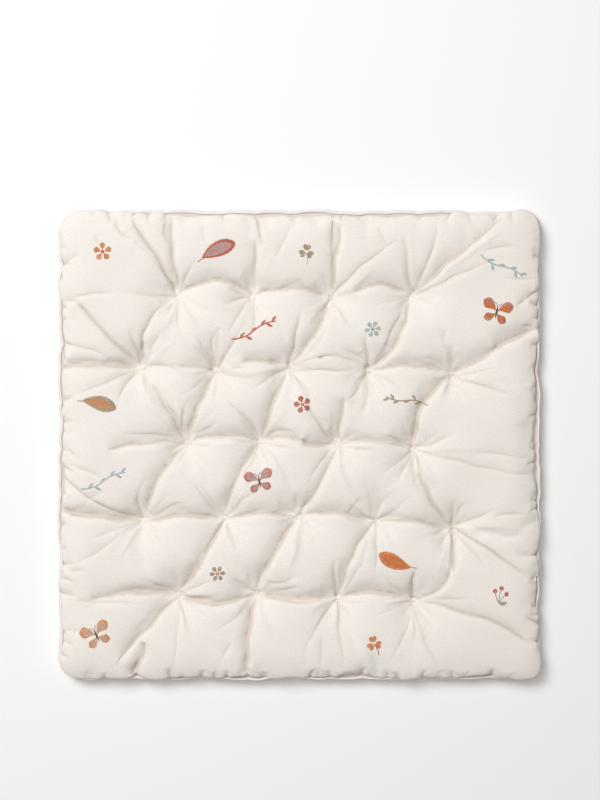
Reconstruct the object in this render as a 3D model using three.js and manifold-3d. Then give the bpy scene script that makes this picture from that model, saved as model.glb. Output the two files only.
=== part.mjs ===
// Square play mat for a baby: a filled cotton cushion with a boxed edge, tied down at 22 places.
// Millimetres, +Z up. The mat lies on its back panel, with the origin at the middle of its base.
// Seen from above, +Y is the mat's top edge and +X its right edge.
import * as THREE from 'three';
import { mergeVertices } from 'three/addons/utils/BufferGeometryUtils.js';
import Module from 'manifold-3d';

const wasm = await Module();
wasm.setup();

// Overall sizes, at the widest part of the side band
const MAT_WIDTH = 999;
const MAT_DEPTH = 974;
const CROWN_HEIGHT = 53;
const SEAM_HEIGHT = 33;
const TUFT_HEIGHT = 21;

// The top panel rises from its seam as a quarter ellipse of this reach
const EDGE_REACH = 78;
// The cloth near a tie climbs back to the crown over about this distance
const TUFT_REACH = 31;
// Fullness of the filling that differs a little from place to place
const LUMP_HEIGHT = 1.6;
const LUMP_SPACING = 190;
const LUMP_PHASE_X = 0.6;
const LUMP_PHASE_Y = -0.4;

// Side band and seam: distance in from the outline, and height, going down
const SEAM_INSET = 9.5;
const BAND_SECTION = [
  { inset: 3.4, height: 30.5, draw: 0.95 },
  { inset: 0.5, height: 22, draw: 0.8 },
  { inset: 0.4, height: 9, draw: 0.6 },
  { inset: 5.5, height: 0, draw: 0.4 },
];

// Self-fabric welt that lies in the top seam
const WELT_RADIUS = 2.1;
const WELT_SIDES = 5;
const WELT_INSET = 6.3;
const WELT_CENTRE_HEIGHT = 34.7;

// Corners, each with its own radius
const CORNER_RADII = { topLeft: 50, topRight: 42, bottomRight: 36, bottomLeft: 54 };

// Thread ties that sit in the tufts, and the hollows that they pull into the base
const TIE_RADIUS = 4.2;
const TIE_TOP_RADIUS = 3.4;
const TIE_EDGE_HEIGHT = 1.6;
const TIE_DOME_HEIGHT = 1.9;
const TIE_CONE_SLOPE = 0.45;
const TIE_GAP = 0.35;
const TIE_SIDES = 8;
const BASE_HOLLOW = [
  { radius: 0, height: 5 },
  { radius: 13, height: 3.2 },
  { radius: 29.5, height: -1 },
  { radius: 0, height: -1 },
];
const BASE_HOLLOW_SIDES = 8;

// Ties, row by row from the top of the mat
const TUFTS = [
  { x: -249, y: 306 }, { x: -94, y: 307 }, { x: 65, y: 302 }, { x: 231, y: 305 },
  { x: -323, y: 160 }, { x: -170, y: 154 }, { x: -24, y: 160 }, { x: 144, y: 154 }, { x: 313, y: 147 },
  { x: -231, y: 5 }, { x: -80, y: 8 }, { x: 80, y: 3 }, { x: 235, y: -8 },
  { x: -319, y: -155 }, { x: -154, y: -151 }, { x: -1, y: -147 }, { x: 156, y: -156 }, { x: 315, y: -170 },
  { x: -247, y: -308 }, { x: -88, y: -304 }, { x: 80, y: -316 }, { x: 235, y: -320 },
];

// Main folds: both ends, how far the middle bows to the left of the way from end 1 to end 2,
// half the width, and the depth, which is negative where the cloth stands up in a ridge
const FOLDS = [
  { x1: -484, y1: 163, x2: -334, y2: 161, bow: 3, width: 13, depth: 8 },
  { x1: -458, y1: 293, x2: -333, y2: 170, bow: -4, width: 15, depth: 8 },
  { x1: -247, y1: 318, x2: -100, y2: 317, bow: 22, width: 15, depth: 7 },
  { x1: -82, y1: 320, x2: 61, y2: 304, bow: 11, width: 14, depth: 7 },
  { x1: -252, y1: 314, x2: -264, y2: 470, bow: 2, width: 13, depth: 6 },
  { x1: -258, y1: 318, x2: -342, y2: 460, bow: -6, width: 14, depth: 5 },
  { x1: -92, y1: 316, x2: -90, y2: 420, bow: 0, width: 14, depth: 4 },
  { x1: 69, y1: 312, x2: 84, y2: 455, bow: 2, width: 13, depth: 6 },
  { x1: 236, y1: 316, x2: 420, y2: 470, bow: 3, width: 15, depth: 8 },
  { x1: 122, y1: 318, x2: 226, y2: 313, bow: 14, width: 14, depth: 6 },
  { x1: 60, y1: 292, x2: -17, y2: 170, bow: 9, width: 13, depth: 6 },
  { x1: 226, y1: 294, x2: 150, y2: 164, bow: 16, width: 15, depth: 7 },
  { x1: -118, y1: 168, x2: -32, y2: 164, bow: 9, width: 13, depth: 6 },
  { x1: 154, y1: 158, x2: 306, y2: 150, bow: 12, width: 14, depth: 7 },
  { x1: 322, y1: 152, x2: 490, y2: 237, bow: 5, width: 15, depth: 9 },
  { x1: 330, y1: 143, x2: 492, y2: 96, bow: -6, width: 14, depth: -3 },
  { x1: -390, y1: -8, x2: -240, y2: -2, bow: 9, width: 15, depth: 6 },
  { x1: -228, y1: 14, x2: -174, y2: 142, bow: 8, width: 13, depth: 7 },
  { x1: -312, y1: 150, x2: -238, y2: 16, bow: 4, width: 13, depth: 4 },
  { x1: -76, y1: 18, x2: -30, y2: 150, bow: 3, width: 14, depth: 7 },
  { x1: -220, y1: 6, x2: -90, y2: 8, bow: 12, width: 14, depth: 7 },
  { x1: -70, y1: 14, x2: 70, y2: 6, bow: 3, width: 14, depth: 7 },
  { x1: 80, y1: 14, x2: 90, y2: 96, bow: 3, width: 13, depth: 5 },
  { x1: 236, y1: 2, x2: 307, y2: 138, bow: 24, width: 15, depth: 8 },
  { x1: 90, y1: 12, x2: 226, y2: -4, bow: 5, width: 13, depth: 4 },
  { x1: -486, y1: -134, x2: -330, y2: -157, bow: 0, width: 13, depth: 9 },
  { x1: -308, y1: -160, x2: -165, y2: -156, bow: 12, width: 14, depth: 8 },
  { x1: -144, y1: -150, x2: -12, y2: -151, bow: 11, width: 13, depth: 7 },
  { x1: 10, y1: -144, x2: 146, y2: -156, bow: 12, width: 14, depth: 7 },
  { x1: 166, y1: -158, x2: 304, y2: -174, bow: 8, width: 13, depth: 6 },
  { x1: -238, y1: -6, x2: -314, y2: -144, bow: -15, width: 15, depth: 7 },
  { x1: -88, y1: -4, x2: -153, y2: -140, bow: -10, width: 15, depth: 6 },
  { x1: -74, y1: -8, x2: -6, y2: -136, bow: 2, width: 13, depth: -4 },
  { x1: 74, y1: -8, x2: 6, y2: -138, bow: 4, width: 14, depth: 5 },
  { x1: 90, y1: -8, x2: 152, y2: -144, bow: 3, width: 13, depth: -4 },
  { x1: 242, y1: -20, x2: 308, y2: -158, bow: -14, width: 14, depth: 5 },
  { x1: -160, y1: -164, x2: -244, y2: -298, bow: 4, width: 14, depth: 9 },
  { x1: -10, y1: -160, x2: -86, y2: -294, bow: -8, width: 15, depth: 7 },
  { x1: 150, y1: -168, x2: 84, y2: -304, bow: -12, width: 14, depth: 5 },
  { x1: 160, y1: -168, x2: 228, y2: -310, bow: -4, width: 13, depth: -4 },
  { x1: 315, y1: -182, x2: 316, y2: -262, bow: 0, width: 13, depth: 6 },
  { x1: 308, y1: -262, x2: 244, y2: -314, bow: 8, width: 14, depth: 5 },
  { x1: -430, y1: -318, x2: -258, y2: -309, bow: 10, width: 15, depth: 7 },
  { x1: -238, y1: -312, x2: -98, y2: -312, bow: -10, width: 13, depth: 8 },
  { x1: -76, y1: -306, x2: 70, y2: -314, bow: -2, width: 13, depth: 9 },
  { x1: 90, y1: -312, x2: 226, y2: -319, bow: 14, width: 14, depth: 8 },
  { x1: -257, y1: -322, x2: -372, y2: -444, bow: -4, width: 14, depth: 8 },
  { x1: -326, y1: -410, x2: -340, y2: -470, bow: 0, width: 13, depth: 7 },
  { x1: -90, y1: -316, x2: -106, y2: -472, bow: -8, width: 14, depth: 7 },
  { x1: 86, y1: -326, x2: 148, y2: -470, bow: 12, width: 14, depth: -4 },
  { x1: 246, y1: -320, x2: 486, y2: -412, bow: 16, width: 16, depth: 9 },
  { x1: 326, y1: -176, x2: 484, y2: -262, bow: 2, width: 15, depth: -5 },
];

// Places where a fold runs out into the edge and draws it in, or lets it out where draw is negative
const EDGE_DRAWS = {
  left: [
    { at: 372, draw: 5, width: 18 }, { at: 217, draw: 5, width: 24 }, { at: 35, draw: 3, width: 40 },
    { at: -150, draw: -3, width: 35 }, { at: -230, draw: 5, width: 26 }, { at: -372, draw: 5, width: 36 },
  ],
  right: [
    { at: 402, draw: 3, width: 22 }, { at: 322, draw: 3, width: 18 }, { at: 154, draw: 7, width: 20 },
    { at: -160, draw: -2, width: 28 }, { at: -200, draw: 5, width: 14 }, { at: -322, draw: 4, width: 26 },
    { at: -386, draw: 4, width: 16 },
  ],
  top: [
    { at: -383, draw: 5, width: 14 }, { at: -150, draw: 2.5, width: 90 }, { at: 112, draw: 4, width: 24 },
    { at: 190, draw: 2.5, width: 60 }, { at: 365, draw: 7, width: 30 }, { at: 418, draw: 3, width: 16 },
  ],
  bottom: [
    { at: -383, draw: 4, width: 24 }, { at: -210, draw: 4, width: 26 }, { at: -105, draw: -2, width: 30 },
    { at: -18, draw: 7, width: 26 }, { at: 272, draw: 3, width: 26 }, { at: 372, draw: 3, width: 30 },
  ],
};

// Panel mesh: lines across the mat at these knots, with this many steps between two of them
const COLUMN_KNOTS = [-321, -248, -160, -85, -10, 74, 150, 234, 314];
const ROW_KNOTS = [-312, -155, 3, 155, 305];
const COLUMN_STEPS = 5;
const ROW_STEPS = 9;
const MARGIN_STEPS = 8;
const LINE_SQUEEZE = 0.5;
const FOLD_STEPS = 10;
const FOLD_FADE = 0.15;
const FOLD_GROWTH = 3;
const TUFT_SNAP_REACH = 30;
const EDGE_DRAW_REACH = 26;
const MERGE_DISTANCE = 1e-4;

const HALF_WIDTH = MAT_WIDTH / 2;
const HALF_DEPTH = MAT_DEPTH / 2;

// Corner radius of the quarter of the mat that a point is in
function cornerRadius(x, y) {
  if (y > 0) {
    return x < 0 ? CORNER_RADII.topLeft : CORNER_RADII.topRight;
  }
  return x < 0 ? CORNER_RADII.bottomLeft : CORNER_RADII.bottomRight;
}

// Distance in from the outline, before the folds draw it in
function insetOf(x, y) {
  const radius = cornerRadius(x, y);
  const overX = Math.abs(x) - (HALF_WIDTH - radius);
  const overY = Math.abs(y) - (HALF_DEPTH - radius);
  const beyond = Math.hypot(Math.max(overX, 0), Math.max(overY, 0));
  return radius - beyond - Math.min(Math.max(overX, overY), 0);
}

// Outline point, and the way out from it, for a point on the edge of the plain square
function outlineAt(squareX, squareY) {
  const radius = cornerRadius(squareX, squareY);
  const sideX = Math.sign(squareX);
  const sideY = Math.sign(squareY);
  const alongX = HALF_WIDTH - Math.abs(squareX);
  const alongY = HALF_DEPTH - Math.abs(squareY);
  const along = Math.max(alongX, alongY);
  if (along >= radius) {
    const onSide = alongX < alongY;
    const outward = onSide ? new THREE.Vector2(sideX, 0) : new THREE.Vector2(0, sideY);
    return { point: new THREE.Vector2(squareX, squareY), outward };
  }
  const turn = (Math.PI / 4) * (1 + (alongX > alongY ? 1 : -1) * (along / radius));
  const outward = new THREE.Vector2(sideX * Math.cos(turn), sideY * Math.sin(turn));
  const centre = new THREE.Vector2(sideX * (HALF_WIDTH - radius), sideY * (HALF_DEPTH - radius));
  return { point: centre.addScaledVector(outward, radius), outward };
}

// How far the folds draw the edge in, for the side that a point is nearest to
function edgeDraw(x, y) {
  const nearSide = HALF_WIDTH - Math.abs(x) < HALF_DEPTH - Math.abs(y);
  const along = nearSide ? y : x;
  const side = nearSide ? (x < 0 ? 'left' : 'right') : (y < 0 ? 'bottom' : 'top');
  let sum = 0;
  for (const { at, draw, width } of EDGE_DRAWS[side]) {
    sum += draw * Math.exp(-(((along - at) / width) ** 2));
  }
  return sum;
}

// Lines across one way of the mat, closer together at the knots and at the edges
function gridLines(half, knots, steps) {
  const stops = [-half, ...knots, half];
  const lines = [-half];
  for (let k = 1; k < stops.length; k += 1) {
    const atMargin = k === 1 || k === stops.length - 1;
    const count = atMargin ? MARGIN_STEPS : steps;
    const squeeze = atMargin || steps === ROW_STEPS ? LINE_SQUEEZE : 0;
    for (let s = 1; s <= count; s += 1) {
      const t = s / count;
      const eased = t - (squeeze * Math.sin(2 * Math.PI * t)) / (2 * Math.PI);
      lines.push(stops[k - 1] + (stops[k] - stops[k - 1]) * eased);
    }
  }
  return lines;
}

// A fold's line on the mat, as a short row of points
function foldLine({ x1, y1, x2, y2, bow }) {
  const start = new THREE.Vector2(x1, y1);
  const end = new THREE.Vector2(x2, y2);
  const along = end.clone().sub(start).normalize();
  const middle = start.clone().add(end).multiplyScalar(0.5);
  middle.addScaledVector(new THREE.Vector2(-along.y, along.x), 2 * bow);
  return new THREE.QuadraticBezierCurve(start, middle, end).getPoints(FOLD_STEPS);
}

const FOLD_LINES = FOLDS.map(foldLine);

// Nearest place on a fold's line: the distance to it, and how far along it lies, from 0 to 1
function nearestOnLine(line, x, y) {
  let nearest = { distance: Infinity, along: 0 };
  for (let k = 1; k < line.length; k += 1) {
    const from = line[k - 1];
    const stepX = line[k].x - from.x;
    const stepY = line[k].y - from.y;
    const length2 = stepX * stepX + stepY * stepY;
    const raw = ((x - from.x) * stepX + (y - from.y) * stepY) / length2;
    const t = Math.min(Math.max(raw, 0), 1);
    const distance = Math.hypot(x - from.x - t * stepX, y - from.y - t * stepY);
    if (distance < nearest.distance) {
      nearest = { distance, along: (k - 1 + t) / (line.length - 1) };
    }
  }
  return nearest;
}

// How far the folds lower the cloth at a point
function foldDrop(x, y) {
  let drop = 0;
  FOLDS.forEach(({ width, depth }, k) => {
    const { distance, along } = nearestOnLine(FOLD_LINES[k], x, y);
    const fade = Math.min(1, along / FOLD_FADE, (1 - along) / FOLD_FADE);
    drop += depth * fade * Math.exp(-((distance / width) ** 2));
  });
  return drop;
}

// Height of the top panel at a point
function panelHeight(x, y) {
  const fromSeam = Math.max(insetOf(x, y) - SEAM_INSET, 0);
  const reach = Math.min(fromSeam / EDGE_REACH, 1);
  const rise = Math.sqrt(1 - (1 - reach) ** 2);
  const waveX = Math.sin((2 * Math.PI * x) / LUMP_SPACING + LUMP_PHASE_X);
  const waveY = Math.sin((2 * Math.PI * y) / LUMP_SPACING + LUMP_PHASE_Y);
  const full = SEAM_HEIGHT + (CROWN_HEIGHT - SEAM_HEIGHT + LUMP_HEIGHT * waveX * waveY) * rise;
  let open = 1;
  for (const tuft of TUFTS) {
    open *= 1 - Math.exp(-Math.hypot(x - tuft.x, y - tuft.y) / TUFT_REACH);
  }
  const pillow = TUFT_HEIGHT + (full - TUFT_HEIGHT) * open;
  return pillow - foldDrop(x, y) * rise * Math.min(1, open * FOLD_GROWTH);
}

// Evenly blended place inside four edge curves, for shares u and v across the mat
function insidePlace(edges, u, v, i, j) {
  const { bottom, top, left, right } = edges;
  const place = new THREE.Vector2();
  place.addScaledVector(bottom[i], 1 - v).addScaledVector(top[i], v);
  place.addScaledVector(left[j], 1 - u).addScaledVector(right[j], u);
  place.addScaledVector(left[0], -(1 - u) * (1 - v)).addScaledVector(right[0], -u * (1 - v));
  place.addScaledVector(left.at(-1), -(1 - u) * v).addScaledVector(right.at(-1), -u * v);
  return place;
}

const columns = gridLines(HALF_WIDTH, COLUMN_KNOTS, COLUMN_STEPS);
const rows = gridLines(HALF_DEPTH, ROW_KNOTS, ROW_STEPS);

// The flat net of the top panel, drawn to the seam line, before ties and folds move it
function panelNet() {
  const onSeam = (x, y) => {
    const { point, outward } = outlineAt(x, y);
    return point.addScaledVector(outward, -SEAM_INSET);
  };
  const edges = {
    bottom: columns.map((x) => onSeam(x, -HALF_DEPTH)),
    top: columns.map((x) => onSeam(x, HALF_DEPTH)),
    left: rows.map((y) => onSeam(-HALF_WIDTH, y)),
    right: rows.map((y) => onSeam(HALF_WIDTH, y)),
  };
  return rows.map((y, j) => columns.map((x, i) => {
    const u = (x + HALF_WIDTH) / MAT_WIDTH;
    const v = (y + HALF_DEPTH) / MAT_DEPTH;
    return insidePlace(edges, u, v, i, j);
  }));
}

// Each tie takes the nearest point of the net, and the points around it follow a little
function snapToTufts(net) {
  const points = net.flat();
  const shifts = TUFTS.map((tuft) => {
    const centre = new THREE.Vector2(tuft.x, tuft.y);
    const away = (p) => p.distanceTo(centre);
    const nearest = points.reduce((best, p) => (away(p) < away(best) ? p : best));
    return { from: nearest.clone(), shift: centre.sub(nearest) };
  });
  for (const point of points) {
    const start = point.clone();
    for (const { from, shift } of shifts) {
      point.addScaledVector(shift, Math.exp(-((start.distanceTo(from) / TUFT_SNAP_REACH) ** 2)));
    }
  }
}

const net = panelNet();
snapToTufts(net);
const lastColumn = columns.length - 1;
const lastRow = rows.length - 1;

// Once round the edge of the net, anticlockwise from the bottom left corner
const rim = [];
for (let i = 0; i < lastColumn; i += 1) {
  rim.push({ i, j: 0, squareX: columns[i], squareY: -HALF_DEPTH });
}
for (let j = 0; j < lastRow; j += 1) {
  rim.push({ i: lastColumn, j, squareX: HALF_WIDTH, squareY: rows[j] });
}
for (let i = lastColumn; i > 0; i -= 1) {
  rim.push({ i, j: lastRow, squareX: columns[i], squareY: HALF_DEPTH });
}
for (let j = lastRow; j > 0; j -= 1) {
  rim.push({ i: 0, j, squareX: -HALF_WIDTH, squareY: rows[j] });
}
for (const stop of rim) {
  Object.assign(stop, outlineAt(stop.squareX, stop.squareY));
  stop.draw = edgeDraw(stop.point.x, stop.point.y);
}

// Place at a stop of the rim, so far in from the outline and so high
function rimPlace(stop, inset, height, drawShare) {
  const back = inset + stop.draw * drawShare;
  const place = stop.point.clone().addScaledVector(stop.outward, -back);
  return [place.x, place.y, height];
}

// Way out of the mat at the nearest side, which the edge draws follow inside the panel
function wayOut(x, y) {
  const ratioX = Math.max(Math.abs(x) - (HALF_WIDTH - EDGE_REACH), 0);
  const ratioY = Math.max(Math.abs(y) - (HALF_DEPTH - EDGE_REACH), 0);
  const way = new THREE.Vector2(Math.sign(x) * ratioX, Math.sign(y) * ratioY);
  return way.lengthSq() > 0 ? way.normalize() : way;
}

function bodyGeometry() {
  const positions = [];
  const index = [];
  const width = columns.length;
  net.forEach((line, j) => line.forEach((point, i) => {
    const onRim = i === 0 || j === 0 || i === lastColumn || j === lastRow;
    const height = onRim ? SEAM_HEIGHT : panelHeight(point.x, point.y);
    const fromSeam = Math.max(insetOf(point.x, point.y) - SEAM_INSET, 0);
    const draw = onRim ? 0 : edgeDraw(point.x, point.y) * Math.exp(-fromSeam / EDGE_DRAW_REACH);
    const place = point.clone().addScaledVector(wayOut(point.x, point.y), -draw);
    positions.push(place.x, place.y, height);
  }));
  for (const stop of rim) {
    const place = rimPlace(stop, SEAM_INSET, SEAM_HEIGHT, 1);
    positions.splice(3 * (stop.j * width + stop.i), 3, ...place);
  }
  for (let j = 0; j < lastRow; j += 1) {
    for (let i = 0; i < lastColumn; i += 1) {
      const a = j * width + i;
      const b = a + 1;
      const c = a + width + 1;
      const d = a + width;
      const height = (v) => positions[3 * v + 2];
      const middle = net[j][i].clone().add(net[j + 1][i + 1]).multiplyScalar(0.5);
      const centre = panelHeight(middle.x, middle.y);
      const missAC = Math.abs((height(a) + height(c)) / 2 - centre);
      const missBD = Math.abs((height(b) + height(d)) / 2 - centre);
      index.push(...(missAC < missBD ? [a, b, c, a, c, d] : [a, b, d, b, c, d]));
    }
  }
  let above = rim.map((stop) => stop.j * width + stop.i);
  for (const { inset, height, draw } of BAND_SECTION) {
    const first = positions.length / 3;
    rim.forEach((stop) => positions.push(...rimPlace(stop, inset, height, draw)));
    const below = rim.map((_, k) => first + k);
    rim.forEach((_, k) => {
      const next = (k + 1) % rim.length;
      index.push(above[k], below[k], below[next], above[k], below[next], above[next]);
    });
    above = below;
  }
  const place2 = (v) => new THREE.Vector2(positions[3 * v], positions[3 * v + 1]);
  for (const [a, b, c] of THREE.ShapeUtils.triangulateShape(above.map(place2), [])) {
    index.push(above[a], above[c], above[b]);
  }
  const geometry = new THREE.BufferGeometry();
  geometry.setAttribute('position', new THREE.Float32BufferAttribute(positions, 3));
  geometry.setIndex(index);
  return geometry;
}

// A closed geometry as a solid that can be joined or cut
function toSolid(source) {
  const bare = source.clone();
  bare.deleteAttribute('normal');
  bare.deleteAttribute('uv');
  const merged = mergeVertices(bare, MERGE_DISTANCE);
  return new wasm.Manifold(new wasm.Mesh({
    numProp: 3,
    vertProperties: new Float32Array(merged.attributes.position.array),
    triVerts: new Uint32Array(merged.index.array),
  }));
}

function toGeometry(solid) {
  const { vertProperties, triVerts } = solid.getMesh();
  const geometry = new THREE.BufferGeometry();
  geometry.setAttribute('position', new THREE.BufferAttribute(vertProperties, 3));
  geometry.setIndex(new THREE.BufferAttribute(triVerts, 1));
  geometry.computeVertexNormals();
  return geometry;
}

// Lathe about +Z from a list of { radius, height }
function turned(section, sides) {
  const profile = section.map(({ radius, height }) => new THREE.Vector2(radius, height));
  return new THREE.LatheGeometry(profile, sides).rotateX(Math.PI / 2);
}

// The filled mat with the hollows that the ties pull into its base
function matBody() {
  let solid = toSolid(bodyGeometry());
  const hollowSection = [...BASE_HOLLOW].reverse();
  for (const { x, y } of TUFTS) {
    const hollow = turned(hollowSection, BASE_HOLLOW_SIDES).translate(x, y, 0);
    solid = solid.subtract(toSolid(hollow));
  }
  return toGeometry(solid);
}

// Welt: a ring of the section, one for each stop of the rim, so that its facets match the seam's
function weltGeometry() {
  const positions = [];
  const index = [];
  rim.forEach((stop) => {
    for (let s = 0; s < WELT_SIDES; s += 1) {
      const turn = (2 * Math.PI * s) / WELT_SIDES - Math.PI / 2;
      const inset = WELT_INSET - WELT_RADIUS * Math.cos(turn);
      const height = WELT_CENTRE_HEIGHT + WELT_RADIUS * Math.sin(turn);
      positions.push(...rimPlace(stop, inset, height, 1));
    }
  });
  rim.forEach((_, k) => {
    const next = (k + 1) % rim.length;
    for (let s = 0; s < WELT_SIDES; s += 1) {
      const a = k * WELT_SIDES + s;
      const b = k * WELT_SIDES + ((s + 1) % WELT_SIDES);
      const c = next * WELT_SIDES + ((s + 1) % WELT_SIDES);
      const d = next * WELT_SIDES + s;
      index.push(a, d, c, a, c, b);
    }
  });
  const geometry = new THREE.BufferGeometry();
  geometry.setAttribute('position', new THREE.Float32BufferAttribute(positions, 3));
  geometry.setIndex(index);
  geometry.computeVertexNormals();
  return geometry;
}

// Tie: a small pad of thread, with a cone under it that follows the hollow of its tuft
function tieGeometry() {
  const coneHeight = TIE_CONE_SLOPE * TIE_RADIUS;
  return turned([
    { radius: 0, height: 0 },
    { radius: TIE_RADIUS, height: coneHeight },
    { radius: TIE_TOP_RADIUS, height: coneHeight + TIE_EDGE_HEIGHT },
    { radius: 0, height: coneHeight + TIE_DOME_HEIGHT },
  ], TIE_SIDES);
}

// Height at which a tie clears the steepest side of its tuft
function tieHeight(tuft) {
  let steepest = 0;
  net.flat().forEach((point) => {
    const away = Math.hypot(point.x - tuft.x, point.y - tuft.y);
    if (away > TIE_RADIUS && away < TUFT_SNAP_REACH) {
      steepest = Math.max(steepest, (panelHeight(point.x, point.y) - TUFT_HEIGHT) / away);
    }
  });
  const wall = steepest * Math.SQRT2;
  return TUFT_HEIGHT + TIE_GAP + Math.max(wall - TIE_CONE_SLOPE, 0) * TIE_RADIUS;
}

const canvas = new THREE.MeshStandardMaterial({ color: 0xede6dc, roughness: 0.95, metalness: 0 });
const weltCanvas = new THREE.MeshStandardMaterial({ color: 0xefe9df, roughness: 0.95, metalness: 0 });
const thread = new THREE.MeshStandardMaterial({ color: 0xf3ede3, roughness: 0.85, metalness: 0 });

const mat = new THREE.Group();

const body = new THREE.Mesh(matBody(), canvas);
body.name = 'mat_body';
mat.add(body);

const welt = new THREE.Mesh(weltGeometry(), weltCanvas);
welt.name = 'top_welt';
mat.add(welt);

TUFTS.forEach((tuft, k) => {
  const tie = new THREE.Mesh(tieGeometry(), thread.clone());
  tie.name = `tuft_tie_${String(k + 1).padStart(2, '0')}`;
  tie.position.set(tuft.x, tuft.y, tieHeight(tuft));
  mat.add(tie);
});

export default mat;
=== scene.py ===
import math

import bmesh
import bpy
import numpy as np
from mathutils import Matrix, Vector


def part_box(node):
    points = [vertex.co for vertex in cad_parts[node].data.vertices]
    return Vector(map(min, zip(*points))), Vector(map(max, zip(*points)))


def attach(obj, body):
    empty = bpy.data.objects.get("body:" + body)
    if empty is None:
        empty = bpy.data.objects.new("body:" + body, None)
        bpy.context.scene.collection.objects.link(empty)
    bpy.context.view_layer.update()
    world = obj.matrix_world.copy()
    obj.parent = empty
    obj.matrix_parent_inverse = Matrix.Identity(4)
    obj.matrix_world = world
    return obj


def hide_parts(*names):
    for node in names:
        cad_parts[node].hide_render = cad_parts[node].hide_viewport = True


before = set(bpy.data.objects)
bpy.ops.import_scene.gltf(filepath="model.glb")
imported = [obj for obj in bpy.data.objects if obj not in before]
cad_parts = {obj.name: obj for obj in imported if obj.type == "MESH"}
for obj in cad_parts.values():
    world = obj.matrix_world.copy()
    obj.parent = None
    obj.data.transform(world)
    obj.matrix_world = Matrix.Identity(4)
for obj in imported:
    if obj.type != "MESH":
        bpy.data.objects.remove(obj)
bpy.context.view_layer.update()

# Filled mat. A top panel, a side band and a back panel of off-white cotton are sewn round one filling,
# and threads tie the top panel down to the back in 22 places. The net of the cloth is drawn first, then
# filled out by cloth simulation, and creased last, where the real cloth gathers. Places are in mm.
MM = 0.001
MAT_WIDTH = 999
MAT_DEPTH = 974
CROWN_HEIGHT = 53
SEAM_HEIGHT = 33
TUFT_HEIGHT = 21
EDGE_REACH = 66
TUFT_REACH = 31
LUMP_HEIGHT = 1.6
LUMP_SPACING = 190
LUMP_PHASE_X = 0.6
LUMP_PHASE_Y = -0.4
SEAM_INSET = 9.5
EDGE_DRAW_REACH = 26
CORNER_RADII = {"top left": 50, "top right": 42, "bottom right": 36, "bottom left": 54}

# Side band from the seam down: inset from the outline, height, share of the edge draws
BAND_SECTION = [(4.6, 29.6, 0.95), (0.0, 21, 0.8), (0.2, 9, 0.6), (5.0, 0, 0.4)]
# Hollow that a tie pulls into the base: distance from the tie, and height
HOLLOW_RADII = [0, 7, 13, 19, 25.3]
HOLLOW_HEIGHTS = [5, 4.4, 3.2, 1.4, 0]

TIE_NODES = [f"tuft_tie_{number:02d}" for number in range(1, 23)]
tie_boxes = [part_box(node) for node in TIE_NODES]
TIES = np.array([(low + high)[:2] for low, high in tie_boxes]) / 2 / MM

# Main folds: both ends, how far the middle bows to the left of the way, half the width, and the depth,
# which is negative for a ridge
FOLDS = [
    (-484, 163, -326, 160, 3, 13, 8), (-458, 293, -326, 164, -4, 15, 5),
    (-247, 312, -98, 312, 26, 15, 7), (-88, 312, 61, 304, 14, 14, 7),
    (-252, 310, -264, 470, 2, 13, 6), (-252, 310, -340, 458, -3, 14, 5),
    (-94, 312, -90, 420, 0, 14, 4), (67, 307, 84, 455, 2, 13, 6),
    (234, 308, 420, 470, 3, 15, 6), (108, 314, 226, 309, 18, 14, 6),
    (62, 298, -19, 165, 9, 13, 6), (228, 300, 148, 158, 16, 15, 7),
    (-118, 168, -28, 162, 9, 13, 6), (148, 156, 310, 149, 12, 14, 7),
    (316, 149, 400, 200, -5, 15, 9), (394, 196, 490, 237, 5, 14, 9), (330, 143, 492, 96, -6, 14, -3),
    (-390, -8, -236, 2, 9, 15, 6), (-230, 9, -172, 148, 8, 13, 7),
    (-305, 128, -234, 10, 4, 13, 4), (-79, 12, -26, 154, 3, 14, 7),
    (-226, 7, -86, 9, 13, 14, 7), (-74, 12, 12, 9, 6, 14, 7),
    (6, 11, 75, 4, -6, 13, 7), (81, 8, 92, 98, 3, 13, 5),
    (236, -2, 310, 142, 24, 15, 8), (90, 8, 230, -6, 5, 13, 4),
    (-486, -134, -324, -156, 0, 13, 9), (-314, -157, -160, -153, 12, 14, 8),
    (-149, -150, -6, -149, 11, 13, 7), (4, -145, 150, -156, 12, 14, 7),
    (161, -157, 309, -172, 8, 13, 6), (-234, 0, -317, -149, -15, 15, 7),
    (-84, 2, -154, -145, -10, 15, 6), (-76, -4, -3, -140, 2, 13, -4),
    (78, -4, 2, -142, 4, 14, 5), (84, -2, 154, -149, 3, 13, -4),
    (238, -14, 312, -164, -14, 14, 5), (-157, -158, -246, -302, 4, 14, 7),
    (-4, -153, -88, -299, -8, 15, 7), (153, -162, 82, -310, -12, 14, 5),
    (158, -162, 232, -314, -4, 13, -4), (315, -176, 316, -262, 0, 13, 6),
    (309, -254, 240, -318, 14, 14, 5), (-430, -314, -252, -309, 10, 15, 7),
    (-242, -312, -93, -308, -13, 13, 8), (-82, -306, 75, -315, -3, 13, 9),
    (85, -314, 230, -319, 16, 14, 8), (-252, -314, -372, -444, -4, 14, 6),
    (-316, -402, -342, -476, 2, 13, 7), (-89, -310, -106, -472, -8, 14, 7),
    (82, -322, 148, -470, 12, 14, -4), (240, -320, 486, -412, 16, 16, 5),
    (326, -176, 484, -262, 2, 15, -5),
]

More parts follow.
